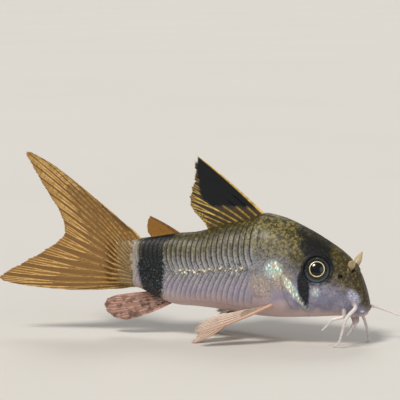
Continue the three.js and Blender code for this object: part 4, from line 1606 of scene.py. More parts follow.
@dataclass
class FlankPlates:
    """Two rows a side of bony plates that overlap like tiles and meet at the lateral line."""

    start: float = 0.9
    count: int = 24
    pitch_front: float = 0.94
    pitch_rear: float = 0.68
    lateral: float = 0.5
    step: float = 0.15
    thick: float = 0.07
    under: float = 0.38
    rows: int = 9
    columns: int = 42
    lap: float = 0.004
    map_gap: float = 0.01
    map_edge: float = 0.05
    map_upper: float = 0.9
    map_rear: float = 0.97
    map_lower: float = 0.02

    def edges(self) -> Array:
        """Lays out a row, from the shoulder to the tail.

        Returns:
            Where each plate starts and the last one ends.
        """
        shares = np.arange(self.count) / self.count
        pitch = blend_between(self.pitch_front, self.pitch_rear, shares)
        return self.start - np.r_[0.0, np.cumsum(pitch)]

    def sweep(self, at: Array, share: Array) -> Array:
        """Shapes the plates' edges, which point forward at the lateral line.

        Args:
            at: Places along the body.
            share: Height shares.

        Returns:
            How far an edge lies forward there.
        """
        back = 18.0 * np.maximum(share - 0.78, 0.0) ** 2
        point = 0.68 * bell(share - self.lateral, 0.12)
        below = 0.9 * smooth(self.lateral - share, 0.0, 0.4)
        front = 1.0 - smooth(at, self.start, SHAPE.head_end - 0.3)
        rear = smooth(at, SHAPE.tail_root, SHAPE.tail_root + 4.0)
        return (back + point - below) * (front * rear)

    def plate(self, front: float, rear: float, low: float, high: float, side: float) -> tuple[Array, Array]:
        """One plate.

        Args:
            front: Where its open part starts.
            rear: Its free edge.
            low: Height share of its lower end.
            high: Height share of its upper end.
            side: 1 on the left and -1 on the right.

        Returns:
            Its points, upper face and then lower face, and their charts.
        """
        u = np.linspace(-self.under, 1.0, self.rows)[:, None]
        v = np.linspace(0.0, 1.0, self.columns)[None, :]
        upper_row = low > 0.3
        scallop = 0.022 * np.sin(math.pi * np.clip(u, 0.0, 1.0)) if upper_row else 0.0
        share = blend_between(low - scallop, high, v) + 0.0 * u
        pitch = front - rear
        corner = 0.55 * np.abs(2.0 * v - 1.0) ** 7
        at = front - u * pitch * (1.0 - corner * np.maximum(u, 0.0))
        at = at + self.sweep(at, share)
        ends = (1.0 - v) / 0.06 if upper_row else np.minimum(v / 0.3, (1.0 - v) / 0.06)
        rise = smooth(ends, 0.0, 1.0)
        crown = self.step * np.clip((u + self.under) / (1.0 + self.under), 0.0, 1.0) ** 0.8
        top = (crown + 0.02) * (0.3 + 0.7 * rise)
        top = top + 0.02 * np.sin(math.pi * np.clip(u, 0.0, 1.0)) * rise
        angle = SHAPE.angle(at, np.clip(share, 0.0, 1.0), side)
        faces = [SHAPE.raised(at, angle, lift).reshape(-1, 3) for lift in (top, top - self.thick)]
        across = np.clip(u, 0.0, 1.0) + 0.0 * v
        chart = np.stack([at, share, across], axis=-1).reshape(-1, 3)
        return np.concatenate(faces), np.concatenate([chart, chart])

    def build(self, finish: Material) -> list[Piece]:
        """Makes the plates of each flank.

        Args:
            finish: The marked finish with dark rims.

        Returns:
            The left and the right coat.
        """
        edges = self.edges()
        made = []
        one = shell_faces(self.rows, self.columns)
        for side in (1.0, -1.0):
            points, charts, faces, patches = [], [], [], []
            for i in range(self.count):
                middle = 0.5 * (edges[i] + edges[i + 1])
                low_end = blend_between(0.1, 0.03, float(smooth(-middle, 8.0, 14.0)))
                high_end = blend_between(0.99, 0.9985, float(smooth(-middle, 6.0, 13.0)))
                meet = self.lateral + self.lap, self.lateral - self.lap
                for low, high in ((low_end, meet[0]), (meet[1], high_end)):
                    p, c = self.plate(edges[i], edges[i + 1], low, high, side)
                    faces.append(one + len(points) * len(p))
                    points.append(p)
                    charts.append(c)
                    patches.append(self.patch(c, edges[i], side))
            places = np.concatenate(points)
            turned = outward(places, np.concatenate(faces))
            name = f"flank_plates_{suffix_of(side)}"
            coat = mesh_piece(name, places, turned, finish, {"chart": np.concatenate(charts)})
            lay_map(coat.data, np.concatenate(patches)[corner_points(coat.data)])
            made.append(coat)
        return made

    def pores(self, side: float) -> tuple[Array, Array]:
        """Places the lateral line's pale knobs, one a plate.

        Args:
            side: 1 on the left and -1 on the right.

        Returns:
            Their places and outward directions.
        """
        edges = self.edges()[3:17]
        wave = np.where(np.arange(len(edges)) % 2 == 0, 0.012, -0.012)
        share = self.lateral + 0.008 + wave
        at = edges + self.sweep(edges, share) + 0.2
        angle = SHAPE.angle(at, share, side)
        return SHAPE.raised(at, angle, np.full_like(at, self.step * 0.95)), SHAPE.normal(at, angle)

    def patch(self, charts: Array, front: float, side: float) -> Array:
        """Gives a plate its own patch of the body's map, clear of its neighbours' patches.

        Args:
            charts: Place along, height share and share across of its points.
            front: Where its open part starts.
            side: 1 on the left and -1 on the right.

        Returns:
            Map places; the lower face is a thin strip behind the upper one.
        """
        half = len(charts) // 2
        share = charts[:, 1]
        low, high = float(share.min()), float(share.max())
        if low + high < 2.0 * self.lateral:
            share = low + (share - low) * (self.lateral - self.map_gap - low) / (high - low)
        else:
            share = high - (high - share) * (high - self.lateral - self.map_gap) / (high - low)
        place = chart_place(charts[:, 0], share, np.full(len(charts), side))
        start = chart_place(np.array([front]), np.array([0.5]), np.array([side]))[0, 0]
        width = MAP_SPREAD * self.pitch_rear / MAP_LENGTH
        place[:, 0] = start - width * (self.map_edge + charts[:, 2] * self.map_upper)
        place[half:, 0] = start - width * (self.map_rear + self.map_lower * charts[half:, 2])
        return place


@dataclass
class ShoulderPlate:
    """Bony plate behind the gill cover, crowned and with a rounded rim."""

    side: float
    cover: Cover = SHOULDER_COVER
    rings: int = 22
    around: int = 96
    thick: float = 0.2

    def build(self, finish: Material) -> Piece:
        """Makes the plate.

        Args:
            finish: The marked finish.

        Returns:
            The plate.
        """
        share = np.linspace(0.0, 1.0, self.rings)[:, None]
        turn = turns(self.around)[None, :]
        reach = 0.04 + 0.96 * share**0.8
        wave = 1.0 + 0.03 * np.sin(3.0 * turn + 0.4) + 0.02 * np.sin(5.0 * turn)
        dz = self.cover.half_z * np.sin(turn) * reach * wave
        dx = self.cover.half_x * np.cos(turn) * reach * wave + self.cover.slant * dz
        high_rim = smooth(0.9 * np.sin(turn) - 0.6 * np.cos(turn), -0.7, 0.7)
        edge = blend_between(0.0, 0.62, high_rim)
        growth = 0.012 * np.sin(reach * 34.0) * reach
        crown = self.cover.lift * blend_between(edge, 1.05, 1.0 - reach**3) + growth
        x, z = self.cover.x + dx, self.cover.z + dz
        upper = SHAPE.flank(x, z, self.side, crown)
        lower = SHAPE.flank(x, z, self.side, crown - self.thick)
        at, height = SHAPE.chart(x, z)
        chart = np.stack([at, height, np.full_like(at, 0.4)], axis=-1).reshape(-1, 3)
        count = self.rings * self.around
        top = grid_faces(self.rings, self.around, wrap=True)
        rim = np.arange(self.around) + (self.rings - 1) * self.around
        after = np.roll(rim, -1)
        wall = np.stack([rim, rim + count, after + count, after], -1)
        quads = np.concatenate([top, top[:, ::-1] + count, wall])
        hubs = [upper[0].mean(0), lower[0].mean(0)]
        points = np.concatenate([upper.reshape(-1, 3), lower.reshape(-1, 3), hubs])
        middle = chart[: self.around].mean(0)
        charts = np.concatenate([chart, chart, [middle, middle]])
        faces = fanned(points, quads, self.around, count)
        name = f"shoulder_plate_{suffix_of(self.side)}"
        return mesh_piece(name, points, faces, finish, {"chart": charts})


@dataclass
class Path:
    """A line for a tube: straight places, radius, length so far and fin coordinates."""

    points: Array
    thick: Array
    fin: Array
    jointed: bool = True

    @cached_property
    def along(self) -> Array:
        """Length from the line's start to each place; nothing on a spine, which has no joints."""
        steps = np.linalg.norm(np.diff(self.points, axis=0), axis=1)
        return np.r_[0.0, np.cumsum(steps)] * float(self.jointed)


class PieceTree:
    """Geometry Nodes that turn a mesh of points or lines into a finished piece."""

    name = "piece"
    inputs: dict[str, str] = {}

    def __init__(self) -> None:
        """Builds the tree with its named inputs; it ends in real geometry with its finish."""
        self.tree = bpy.data.node_groups.new(self.name, "GeometryNodeTree")
        self.tree.is_modifier = True
        face = self.tree.interface
        face.new_socket("Geometry", in_out="INPUT", socket_type="NodeSocketGeometry")
        self.ids = {
            label: face.new_socket(label, in_out="INPUT", socket_type=f"NodeSocket{kind}").identifier
            for label, kind in {**self.inputs, "Finish": "Material"}.items()
        }
        face.new_socket("Geometry", in_out="OUTPUT", socket_type="NodeSocketGeometry")
        self.bench = Bench(self.tree)
        given = self.bench.add("NodeGroupInput").outputs
        real = self.bench.add("GeometryNodeRealizeInstances", None, {"Geometry": self.shape(given)})
        sockets = {"Geometry": real.outputs[0], "Material": given["Finish"]}
        dressed = self.bench.add("GeometryNodeSetMaterial", None, sockets)
        self.bench.add("NodeGroupOutput", None, {0: dressed.outputs[0]})

    def shape(self, given: bpy.types.NodeOutputs) -> Socket:
        """The nodes that make the shape, from the tree's inputs."""
        raise NotImplementedError

    def named(self, name: str, kind: str = "FLOAT") -> Socket:
        """A point attribute of the mesh that the tree works on."""
        node = self.bench.add("GeometryNodeInputNamedAttribute", {"data_type": kind}, {"Name": name})
        return node.outputs["Attribute"]

    def run(self, name: str, mesh: bpy.types.Mesh, values: dict[str, object]) -> Piece:
        """Runs the tree and keeps what it makes, with no modifier left.

        Args:
            name: The piece's name.
            mesh: What the tree works on.
            values: The tree's inputs by name.

        Returns:
            The finished mesh piece.
        """
        carrier = put(mesh.name, mesh)
        modifier = carrier.modifiers.new(self.name, "NODES")
        modifier.node_group = self.tree
        for label, value in values.items():
            modifier[self.ids[label]] = value
        depsgraph = bpy.context.evaluated_depsgraph_get()
        result = bpy.data.meshes.new_from_object(carrier.evaluated_get(depsgraph), depsgraph=depsgraph)
        carrier.modifiers.clear()
        bpy.data.objects.remove(carrier)
        result.name = name
        # Forms that start in the tree bring an empty slot before their finish.
        result.materials.clear()
        result.materials.append(values["Finish"])
        return put(name, result)


class TubeTree(PieceTree):
    """Lays a jointed, tapering tube along every line of a mesh."""

    name = "jointed_tubes"
    inputs = {"Sides": "Int", "Joint Depth": "Float", "Joint Length": "Float"}

    def shape(self, given: bpy.types.NodeOutputs) -> Socket:
        """The tubes.

        Args:
            given: The tree's inputs.

        Returns:
            Their geometry.
        """
        bench = self.bench
        curves = bench.add("GeometryNodeMeshToCurve", None, {"Mesh": given["Geometry"]})
        beat = (Wire(bench, self.named("along")) / given["Joint Length"]).beat() * 2.0
        radius = Wire(bench, self.named("thick")) * (1.0 - (beat**6.0) * given["Joint Depth"])
        circle = {"Resolution": given["Sides"], "Radius": 1.0}
        ring = bench.add("GeometryNodeCurvePrimitiveCircle", None, circle)
        sockets = {
            "Curve": curves.outputs[0], "Profile Curve": ring.outputs[0],
            "Scale": radius, "Fill Caps": True,
        }
        tube = bench.add("GeometryNodeCurveToMesh", None, sockets)
        return bench.add("GeometryNodeSetShadeSmooth", None, {"Geometry": tube.outputs[0]}).outputs[0]

    def grow(
        self,
        name: str,
        lines: Sequence[Path],
        finish: Material,
        sides: int = 6,
        joint_depth: float = 0.0,
        joint_length: float = 0.6,
    ) -> Piece:
        """Lays tubes along lines.

        Args:
            name: The piece's name.
            lines: The lines, each with its thickness.
            finish: The tubes' material.
            sides: Sides of a tube.
            joint_depth: Share by which a tube narrows at a joint.
            joint_length: Millimetres from joint to joint.

        Returns:
            The finished mesh piece.
        """
        points = np.concatenate([line.points for line in lines])
        mesh = bpy.data.meshes.new(name + "_lines")
        edges: list[tuple[int, int]] = []
        offset = 0
        for line in lines:
            count = len(line.points)
            edges += [(offset + i, offset + i + 1) for i in range(count - 1)]
            offset += count
        mesh.from_pydata(BodyShape.placed(points).tolist(), edges, [])
        carried = {
            "thick": np.concatenate([line.thick for line in lines]) * MM,
            "along": np.concatenate([line.along for line in lines]),
            "rest": points,
            "fin": np.concatenate([line.fin for line in lines]),
        }
        write_attributes(mesh, carried)
        joints = {"Joint Depth": joint_depth, "Joint Length": joint_length}
        return self.run(name, mesh, {"Sides": sides, **joints, "Finish": finish})


class PoreTree(PieceTree):
    """Sets a low oval knob on every point of a mesh, flat on the skin."""

    name = "line_pores"
    inputs = {"Radius": "Float", "Height": "Float", "Seed": "Int"}
    radius = 0.16
    height = 0.035
    seed = 7
    spread = (0.7, 1.25)

    def shape(self, given: bpy.types.NodeOutputs) -> Socket:
        """The knobs.

        Args:
            given: The tree's inputs.

        Returns:
            Their geometry.
        """
        bench = self.bench
        ball = bench.add("GeometryNodeMeshUVSphere", None, {"Segments": 16, "Rings": 10, "Radius": 1.0})
        out = {"Vector": self.named("out", "FLOAT_VECTOR")}
        turned = bench.add("FunctionNodeAlignRotationToVector", {"axis": "Z"}, out)
        limits = {2: self.spread[0], 3: self.spread[1], "Seed": given["Seed"]}
        chance = bench.add("FunctionNodeRandomValue", {"data_type": "FLOAT"}, limits)
        size = Wire(bench, chance.outputs[1]) * given["Radius"]
        scale = bench.add("ShaderNodeCombineXYZ", None, {0: size * 1.15, 1: size, 2: given["Height"]})
        sockets = {
            "Points": given["Geometry"], "Instance": ball.outputs["Mesh"],
            "Rotation": turned.outputs[0], "Scale": scale.outputs[0],
        }
        return bench.add("GeometryNodeInstanceOnPoints", None, sockets).outputs[0]

    def grow(self, name: str, points: Array, out: Array, finish: Material) -> Piece:
        """Sets the knobs.

        Args:
            name: The piece's name.
            points: Straight places in millimetres.
            out: Straight outward directions there.
            finish: The knobs' material.

        Returns:
            The finished mesh piece.
        """
        placed = BodyShape.placed(points)
        mesh = bpy.data.meshes.new(name + "_points")
        mesh.from_pydata(placed.tolist(), [], [])
        ways = unit(BodyShape.placed(points + out * 0.1) - placed)
        write_attributes(mesh, {"rest": points, "out": ways})
        sizes = {"Radius": self.radius * MM, "Height": self.height * MM}
        piece = self.run(name, mesh, {**sizes, "Seed": self.seed, "Finish": finish})
        piece.data.polygons.foreach_set("use_smooth", np.ones(len(piece.data.polygons), bool))
        return piece


Placer = Callable[[Array], Array]


@dataclass
class Fin:
    """A fan of rays with a thin membrane between them."""

    name: str
    kind: FinKind
    rays: int
    roots: Placer
    margin: Sequence[Sequence[float]]
    bow: Placer
    across: Array
    curl: Optional[Callable[[Array, Array, Array], Array]] = None
    ray_root: float = 0.2
    ray_tip: float = 0.045
    spine: float = 0.3
    membrane_root: float = 0.1
    membrane_tip: float = 0.035
    fringe: float = 0.05
    mirror: bool = False
    apart: Optional[Placer] = None
    toward: tuple[float, float, float] = (0.0, 0.0, 0.0)
    seat: float = 0.9
    forks: tuple[float, float] = (0.38, 0.68)
    splay: float = 0.22

    def tips(self, s: Array) -> Array:
        """Places on the fin's margin."""
        return spline(self.margin, s)

    def reach(self, s: Array, t: Array) -> Array:
        """Length from the root to a length share."""
        return np.linalg.norm(self.tips(s) - self.roots(s), axis=-1) * np.clip(t, 0.0, 1.0)

    def surface(self, s: Array, t: Array) -> Array:
        """Points in the middle of the fin.

        Args:
            s: Shares of its base, from the front ray.
            t: Shares of its length; under 0 is its seat in the body.

        Returns:
            Straight points.
        """
        root, tip = self.roots(s), self.tips(s)
        t3 = t[..., None]
        arc = root + (tip - root) * t3 + self.bow(s) * 4.0 * t3 * (1.0 - t3)
        inward = root - (unit(tip - root) - np.array(self.toward)) * self.seat * np.minimum(-t3, 1.0)
        points = np.where(t3 < 0.0, inward, arc)
        if self.curl is not None:
            points = self.curl(points, s, np.maximum(t, 0.0))
        return points

    def notch(self, s: Array) -> Array:
        """Frays the membrane's margin between the rays.

        Args:
            s: Shares of the base.

        Returns:
            The length share that it reaches.
        """
        ray = s * (self.rays - 1)
        between = np.abs(np.sin(math.pi * ray))
        twigs = np.abs(np.sin(math.pi * ray * 4.0))
        ragged = 0.5 + 0.5 * np.sin(ray * 9.7 + 1.3) * np.sin(ray * 23.1 + 0.4)
        return 1.0 - self.fringe * (0.35 * between + 0.3 * twigs + 0.35 * ragged)

    def flip(self, points: Array) -> Array:
        """Mirrors points to the right side, if this is a right fin."""
        return points * np.array([1.0, -1.0, 1.0]) if self.mirror else points

    def membrane(self, finish: Material) -> Piece:
        """Makes the membrane, a thin closed sheet.

        Args:
            finish: Its finish.

        Returns:
            The sheet.
        """
        columns = (self.rays - 1) * 8 + 1
        rows = 44
        s = np.linspace(0.0, 1.0, columns)[None, :] + np.zeros((rows, 1))
        t = np.r_[-1.0, np.linspace(0.0, 1.0, rows - 1)][:, None] + np.zeros((1, columns))
        reach = np.where(t > 0.0, t * blend_between(1.0, self.notch(s), smooth(t, 0.5, 1.0)), t)
        middle = self.surface(s, reach)
        half = blend_between(self.membrane_root, self.membrane_tip, np.sqrt(np.clip(t, 0.0, 1.0)))
        wave = 0.35 * self.membrane_tip * np.sin(math.pi * s * (self.rays - 1)) ** 2
        half = np.maximum(half - wave, 0.02)
        side = self.across * half[..., None]
        points = np.concatenate([(middle + side).reshape(-1, 3), (middle - side).reshape(-1, 3)])
        points[:, 2] = np.maximum(points[:, 2], 0.0)
        fin = np.stack([s, np.clip(t, 0.0, 1.0), self.reach(s, t)], -1).reshape(-1, 3)
        faces = outward(self.flip(points), shell_faces(rows, columns))
        name = f"{self.name}_membrane"
        return mesh_piece(name, self.flip(points), faces, finish, {"fin": np.concatenate([fin, fin])})

    def lines(self) -> list[Path]:
        """Draws all rays; each parts in two and again in four towards the margin.

        Returns:
            A line for each twig, and one for the spine.
        """
        made = []
        gap = 1.0 / (self.rays - 1)
        for i in range(self.rays):
            base = i * gap
            is_spine = i == 0 and self.spine > 0.0
            twigs = (0.0,) if is_spine or self.kind is FinKind.ADIPOSE else (-1.5, -0.5, 0.5, 1.5)
            layers = (1.0, -1.0) if self.apart else (0.0,)
            for k, (twig, layer) in enumerate((a, b) for a in twigs for b in layers):
                t = np.linspace(-0.8 - 0.2 * (i % 3 == 1), 1.0, 70)
                t = np.where(t < 0.0, t, t * (1.0 - 0.012 * (k % 2)))
                first, second = self.forks
                fork = np.sign(twig) * smooth(t, first, first + 0.4)
                fine = (twig - np.sign(twig)) * smooth(t, second, second + 0.3)
                spread = gap * self.splay * (fork + fine)
                s = np.clip(base + spread, 0.0, 1.0)
                points = self.surface(s, t)
                radius = blend_between(self.ray_root, self.ray_tip, np.clip(t, 0.0, 1.0) ** 0.7)
                if is_spine:
                    radius = blend_between(self.spine, self.ray_tip, np.clip(t, 0.0, 1.0) ** 1.3)
                radius = radius * (1.0 - 0.75 * smooth(t, 0.93, 1.0))
                if self.apart is not None:
                    points[:, 1] += layer * self.apart(points)
                points[:, 2] = np.maximum(points[:, 2], radius * 1.02)
                fin = np.stack([s, np.clip(t, 0.0, 1.0), self.reach(s, t)], -1)
                made.append(Path(self.flip(points), radius, fin, not is_spine))
        return made

    def build(
        self, tubes: TubeTree, membrane: Material, rays: Material
    ) -> list[Piece]:
        """Makes membrane and rays.

        Args:
            tubes: The tree that lays the rays.
            membrane: Finish of the membrane.
            rays: Finish of the rays.

        Returns:
            Both pieces.
        """
        sheet = self.membrane(membrane)
        fan = tubes.grow(f"{self.name}_rays", self.lines(), rays, 6, 0.22, 0.55)
        return [sheet, fan]


SIDEWAYS = np.array([0.0, 1.0, 0.0])
# How deep a fin sits in the solids, and how far its rays stand back out of that.
SEAT = 0.38
ROOT_RISE = 0.3


def level(x: Array, z: Array) -> Array:
    """Places in the fish's middle plane, from arrays."""
    return np.stack([x, np.zeros_like(x), z], axis=-1)


def in_plane(*places: tuple[float, float]) -> list[tuple[float, float, float]]:
    """Places in the fish's middle plane."""
    return [(x, 0.0, z) for x, z in places]


def along_edge(line: Column, front: float, rear: float, way: float = 1.0) -> Placer:
    """Roots of a fin on the back or belly line.

    Args:
        line: The body's line.
        front: Place of the first ray.
        rear: Place of the last ray.
        way: 1 for the back and -1 for the belly.

    Returns:
        What gives the roots at shares of the base.
    """

    def roots(s: Array) -> Array:
        """Places on the line."""
        x = blend_between(front, rear, s)
        return level(x, line(x) + way * SEAT - way * ROOT_RISE)

    return roots


def straight(front: Array, rear: Array) -> Placer:
    """Roots of a fin on a straight line."""
    return lambda s: front + (rear - front) * s[..., None]


def fading(*push: float) -> Placer:
    """A bow that is full at the first ray and gone at the last."""
    return lambda s: np.array(push) * (1.0 - s)[..., None]


class FinMaker:
    """The fins, each from the same sizes as its solid."""

    def dorsal(self) -> Fin:
        """The sail on the back, with a strong front spine.

        Returns:
            The fin.
        """
        margin = in_plane(
            (-9.3, 28.3), (-9.75, 27.0), (-9.7, 25.2), (-10.1, 23.4), (-10.4, 21.9),
            (-10.3, 20.6), (-9.6, 19.5), (-8.7, 18.6), (-8.0, 17.9),
        )
        roots, bow = along_edge(SHAPE.top_z, 1.1, -7.3), fading(0.1, 0.0, 0.2)
        looks = {"spine": 0.27, "fringe": 0.07}
        return Fin("dorsal_fin", FinKind.DORSAL, 9, roots, margin, bow, SIDEWAYS, **looks)

    def adipose(self) -> Fin:
        """The small fin between dorsal and tail, held by one spine.

        Returns:
            The fin.
        """
        margin = in_plane((-16.6, 18.75), (-16.9, 18.1), (-17.0, 17.2), (-16.9, 16.3))
        roots, bow = along_edge(SHAPE.top_z, -12.2, -16.3), fading(0.0, 0.0, 0.12)
        looks = {"ray_root": 0.09, "ray_tip": 0.04, "spine": 0.26, "membrane_root": 0.2, "seat": 0.6}
        return Fin("adipose_fin", FinKind.ADIPOSE, 4, roots, margin, bow, SIDEWAYS, **looks)

    def anal(self) -> Fin:
        """The fin under the tail stalk.

        Returns:
            The fin.
        """
        margin = in_plane(
            (-20.6, 2.3), (-22.3, 2.7), (-23.5, 3.6), (-23.9, 4.7), (-23.4, 5.6), (-21.9, 6.2), (-19.4, 6.6),
        )

        def bow(s: Array) -> Array:
            """Bulges down at the front."""
            return level(-0.1 + 0.0 * s, -0.35 * (1.0 - s))

        roots = along_edge(SHAPE.low_z, -13.2, -16.8, -1.0)
        looks = {"ray_root": 0.17, "spine": 0.2, "seat": 0.8}
        return Fin("anal_fin", FinKind.ANAL, 7, roots, margin, bow, SIDEWAYS, **looks)

    def caudal(self) -> Fin:
        """The long forked tail fin.

        Returns:
            The fin.
        """
        face = SHAPE.tail_root - 0.3
        high, low = float(SHAPE.top_z(SHAPE.tail_root)), float(SHAPE.low_z(SHAPE.tail_root))
        down = (0.05, 0.18, 0.32, 0.45, 0.55, 0.68, 0.82, 0.95)
        base = np.array(in_plane(
            *((x, float(SHAPE.top_z(x)) + SEAT - 0.25) for x in (-18.2, -19.4, -20.5)),
            *((face, blend_between(high, low, k)) for k in down),
            *((x, float(SHAPE.low_z(x)) - SEAT + 0.25) for x in (-20.5, -19.6)),
        ))
        margin = in_plane(
            (-20.2, 17.3), (-26.0, 22.3), (-32.3, 27.1), (-35.9, 28.7), (-34.7, 26.1),
            (-32.6, 22.4), (-30.6, 18.9), (-30.1, 15.8), (-33.0, 13.3), (-37.0, 11.0),
            (-40.4, 8.7), (-31.5, 7.0), (-23.6, 7.3),
        )

        def roots(s: Array) -> Array:
            """Places on the stalk's end, from its back over the face to its belly."""
            place = np.clip(s, 0.0, 1.0) * (len(base) - 1)
            i = np.minimum(place.astype(int), len(base) - 2)
            return blend_between(base[i], base[i + 1], (place - i)[..., None])

        def bow(s: Array) -> Array:
            """Bows each lobe outwards."""
            upper = np.maximum(0.0, 1.0 - 3.0 * np.abs(s - 0.25))
            lower = np.maximum(0.0, 1.0 - 3.0 * np.abs(s - 0.83))
            return level(0.0 * s, 0.7 * upper - 0.45 * lower)

        def curl(points: Array, s: Array, t: Array) -> Array:
            """Sways the lobes apart sideways and ripples the fin."""
            sway = -0.9 * (1.0 - s) * t * t + 0.7 * s * t * t
            ripple = 0.1 * np.sin(s * 21.0 + t * 3.0) * t * t
            points[..., 1] = sway + ripple
            return points

        def apart(points: Array) -> Array:
            """Half the distance between the left and right ray layers, which hold the stalk."""
            x = np.maximum(points[:, 0], SHAPE.tail_root)
            height = (points[:, 2] - SHAPE.low_z(x)) / (SHAPE.top_z(x) - SHAPE.low_z(x))
            angle = SHAPE.angle(x, np.clip(height, 0.0, 1.0), 1.0)
            width = np.abs(SHAPE.point(x, angle)[:, 1])
            past = np.clip((SHAPE.tail_root - points[:, 0]) / 3.2, 0.0, 1.0)
            sunk = 1.0 - 0.6 * smooth(points[:, 0], -19.3, -18.7)
            return np.maximum(width * sunk * (1.0 - past * past) ** 0.8 - 0.02, 0.04)

        return Fin(
            "caudal_fin", FinKind.CAUDAL, 19, roots, margin, bow, SIDEWAYS, curl,
            ray_root=0.19, ray_tip=0.055, spine=0.2, membrane_root=0.13, fringe=0.03, seat=2.3,
            forks=(0.3, 0.58), splay=0.2, apart=apart,
        )

    def pectoral(self, right: bool) -> Fin:
        """A pectoral fin with its strong spine, spread out at the side.

        Args:
            right: Whether it is the right one.

        Returns:
            The fin.
        """
        front = SHAPE.flank(3.6, 6.3, 1.0, 0.05)
        rear = SHAPE.flank(1.9, 5.9, 1.0, 0.05)
        margin = np.array([
            (-7.7, 9.0, 1.95), (-7.9, 8.6, 2.7), (-7.3, 8.0, 3.5),
            (-6.2, 7.3, 4.1), (-4.8, 6.7, 4.6), (-3.2, 6.1, 4.9),
        ])
        return Fin(
            f"pectoral_fin_{'r' if right else 'l'}", FinKind.PAIRED, 8,
            straight(front, rear), margin, fading(0.0, 0.55, -0.25),
            unit(np.cross(margin[0] - front, margin[4] - front)),
            ray_root=0.17, spine=0.36, fringe=0.09, mirror=right, seat=0.8, toward=(-0.5, -1.1, 0.3),
        )

    def pelvic(self, right: bool) -> Fin:
        """A pelvic fin that props the fish on the floor.

        Args:
            right: Whether it is the right one.

        Returns:
            The fin.
        """
        front = SHAPE.flank(-1.9, float(SHAPE.low_z(-1.9)) + 0.35, 1.0, 0.05)
        rear = SHAPE.flank(-3.3, float(SHAPE.low_z(-3.3)) + 0.1, 1.0, 0.05)
        margin = np.array([
            (-8.9, 5.6, 0.0), (-9.2, 4.7, 0.0), (-8.9, 3.7, 0.3), (-8.2, 2.9, 1.1), (-7.2, 2.2, 1.9),
        ])

        def curl(points: Array, s: Array, t: Array) -> Array:
            """Keeps the fin off the floor."""
            points[..., 2] = np.maximum(points[..., 2], 0.06)
            return points

        return Fin(
            f"pelvic_fin_{'r' if right else 'l'}", FinKind.PAIRED, 6,
            straight(front, rear), margin, fading(0.0, 0.25, -0.75),
            unit(np.cross(margin[0] - front, margin[3] - front)), curl,
            ray_root=0.17, spine=0.24, fringe=0.08, mirror=right, seat=0.7, toward=(-0.4, -0.3, 0.9),
        )

    def every(self) -> list[Fin]:
        """All fins."""
        paired = [make(right) for make in (self.pectoral, self.pelvic) for right in (False, True)]
        return [self.dorsal(), self.adipose(), self.anal(), self.caudal(), *paired]


@dataclass(frozen=True)
class Feeler:
    """A soft feeler round the mouth, from its root to its tip."""

    name: str
    way: tuple[tuple[float, float, float], ...]
    side: float = 0.0
    x: float = 0.0
    z: float = 0.0
    root_radius: float = 0.42
    tip_radius: float = 0.11

    def path(self) -> Path:
        """The feeler's line, which starts inside the lip.

        Returns:
            The line.
        """
        knots = [np.array(p) for p in self.way]
        if self.side:
            starts = ((self.z, -0.5), (self.z, 0.3), (self.z - 0.3, 0.75))
            roots = [SHAPE.flank(self.x, z, self.side, lift) for z, lift in starts]
        else:
            roots = [knots[0] + np.array([-0.3, 0.0, 1.7])]
        t = np.linspace(0.0, 1.0, 90)
        wave = np.stack([np.sin(t * 9.0), np.cos(t * 7.0), 0.0 * t], -1) * 0.07
        points = spline([*roots, *knots], t) + wave * (t * (1.0 - t))[:, None] * 4.0
        radius = blend_between(self.root_radius, self.tip_radius, t**0.95)
        radius = radius * (1.0 - 0.6 * smooth(t, 0.95, 1.0)) + 0.16 * bell(t, 0.13)
        points[:, 2] = np.maximum(points[:, 2], radius * 1.02)
        length = np.r_[0.0, np.cumsum(np.linalg.norm(np.diff(points, axis=0), axis=1))]
        fin = np.stack([0.0 * t, t, length], -1)
        return Path(points, radius, fin)


FEELERS = (
    Feeler(
        "barbel_chin_r", ((15.75, -0.95, 3.45), (15.6, -1.05, 3.1), (15.2, -1.3, 2.3), (14.7, -1.45, 1.6)),
        root_radius=0.34,
    ),
    Feeler(
        "barbel_chin_l", ((15.75, 0.95, 3.45), (15.6, 1.05, 3.1), (15.3, 1.3, 2.3), (14.9, 1.5, 1.6)),
        root_radius=0.34,
    ),
    Feeler(
        "barbel_upper_r", ((15.5, -4.3, 4.8), (14.7, -4.0, 2.6), (13.9, -3.6, 0.7), (13.0, -3.2, 0.08)),
        -1.0, 16.2, 6.7,
    ),
    Feeler("barbel_lower_r", ((13.2, -4.1, 4.4), (12.2, -3.9, 3.4), (11.3, -3.6, 2.5)), -1.0, 14.7, 5.7),
    Feeler("barbel_upper_l", ((17.9, 3.7, 5.4), (19.6, 4.4, 4.7), (21.6, 4.9, 3.9)), 1.0, 16.4, 6.1),
    Feeler(
        "barbel_lower_l", ((15.9, 3.9, 4.0), (16.6, 3.7, 2.1), (16.9, 3.3, 0.4), (16.9, 2.2, 0.08)),
        1.0, 15.2, 5.7,
    ),
)


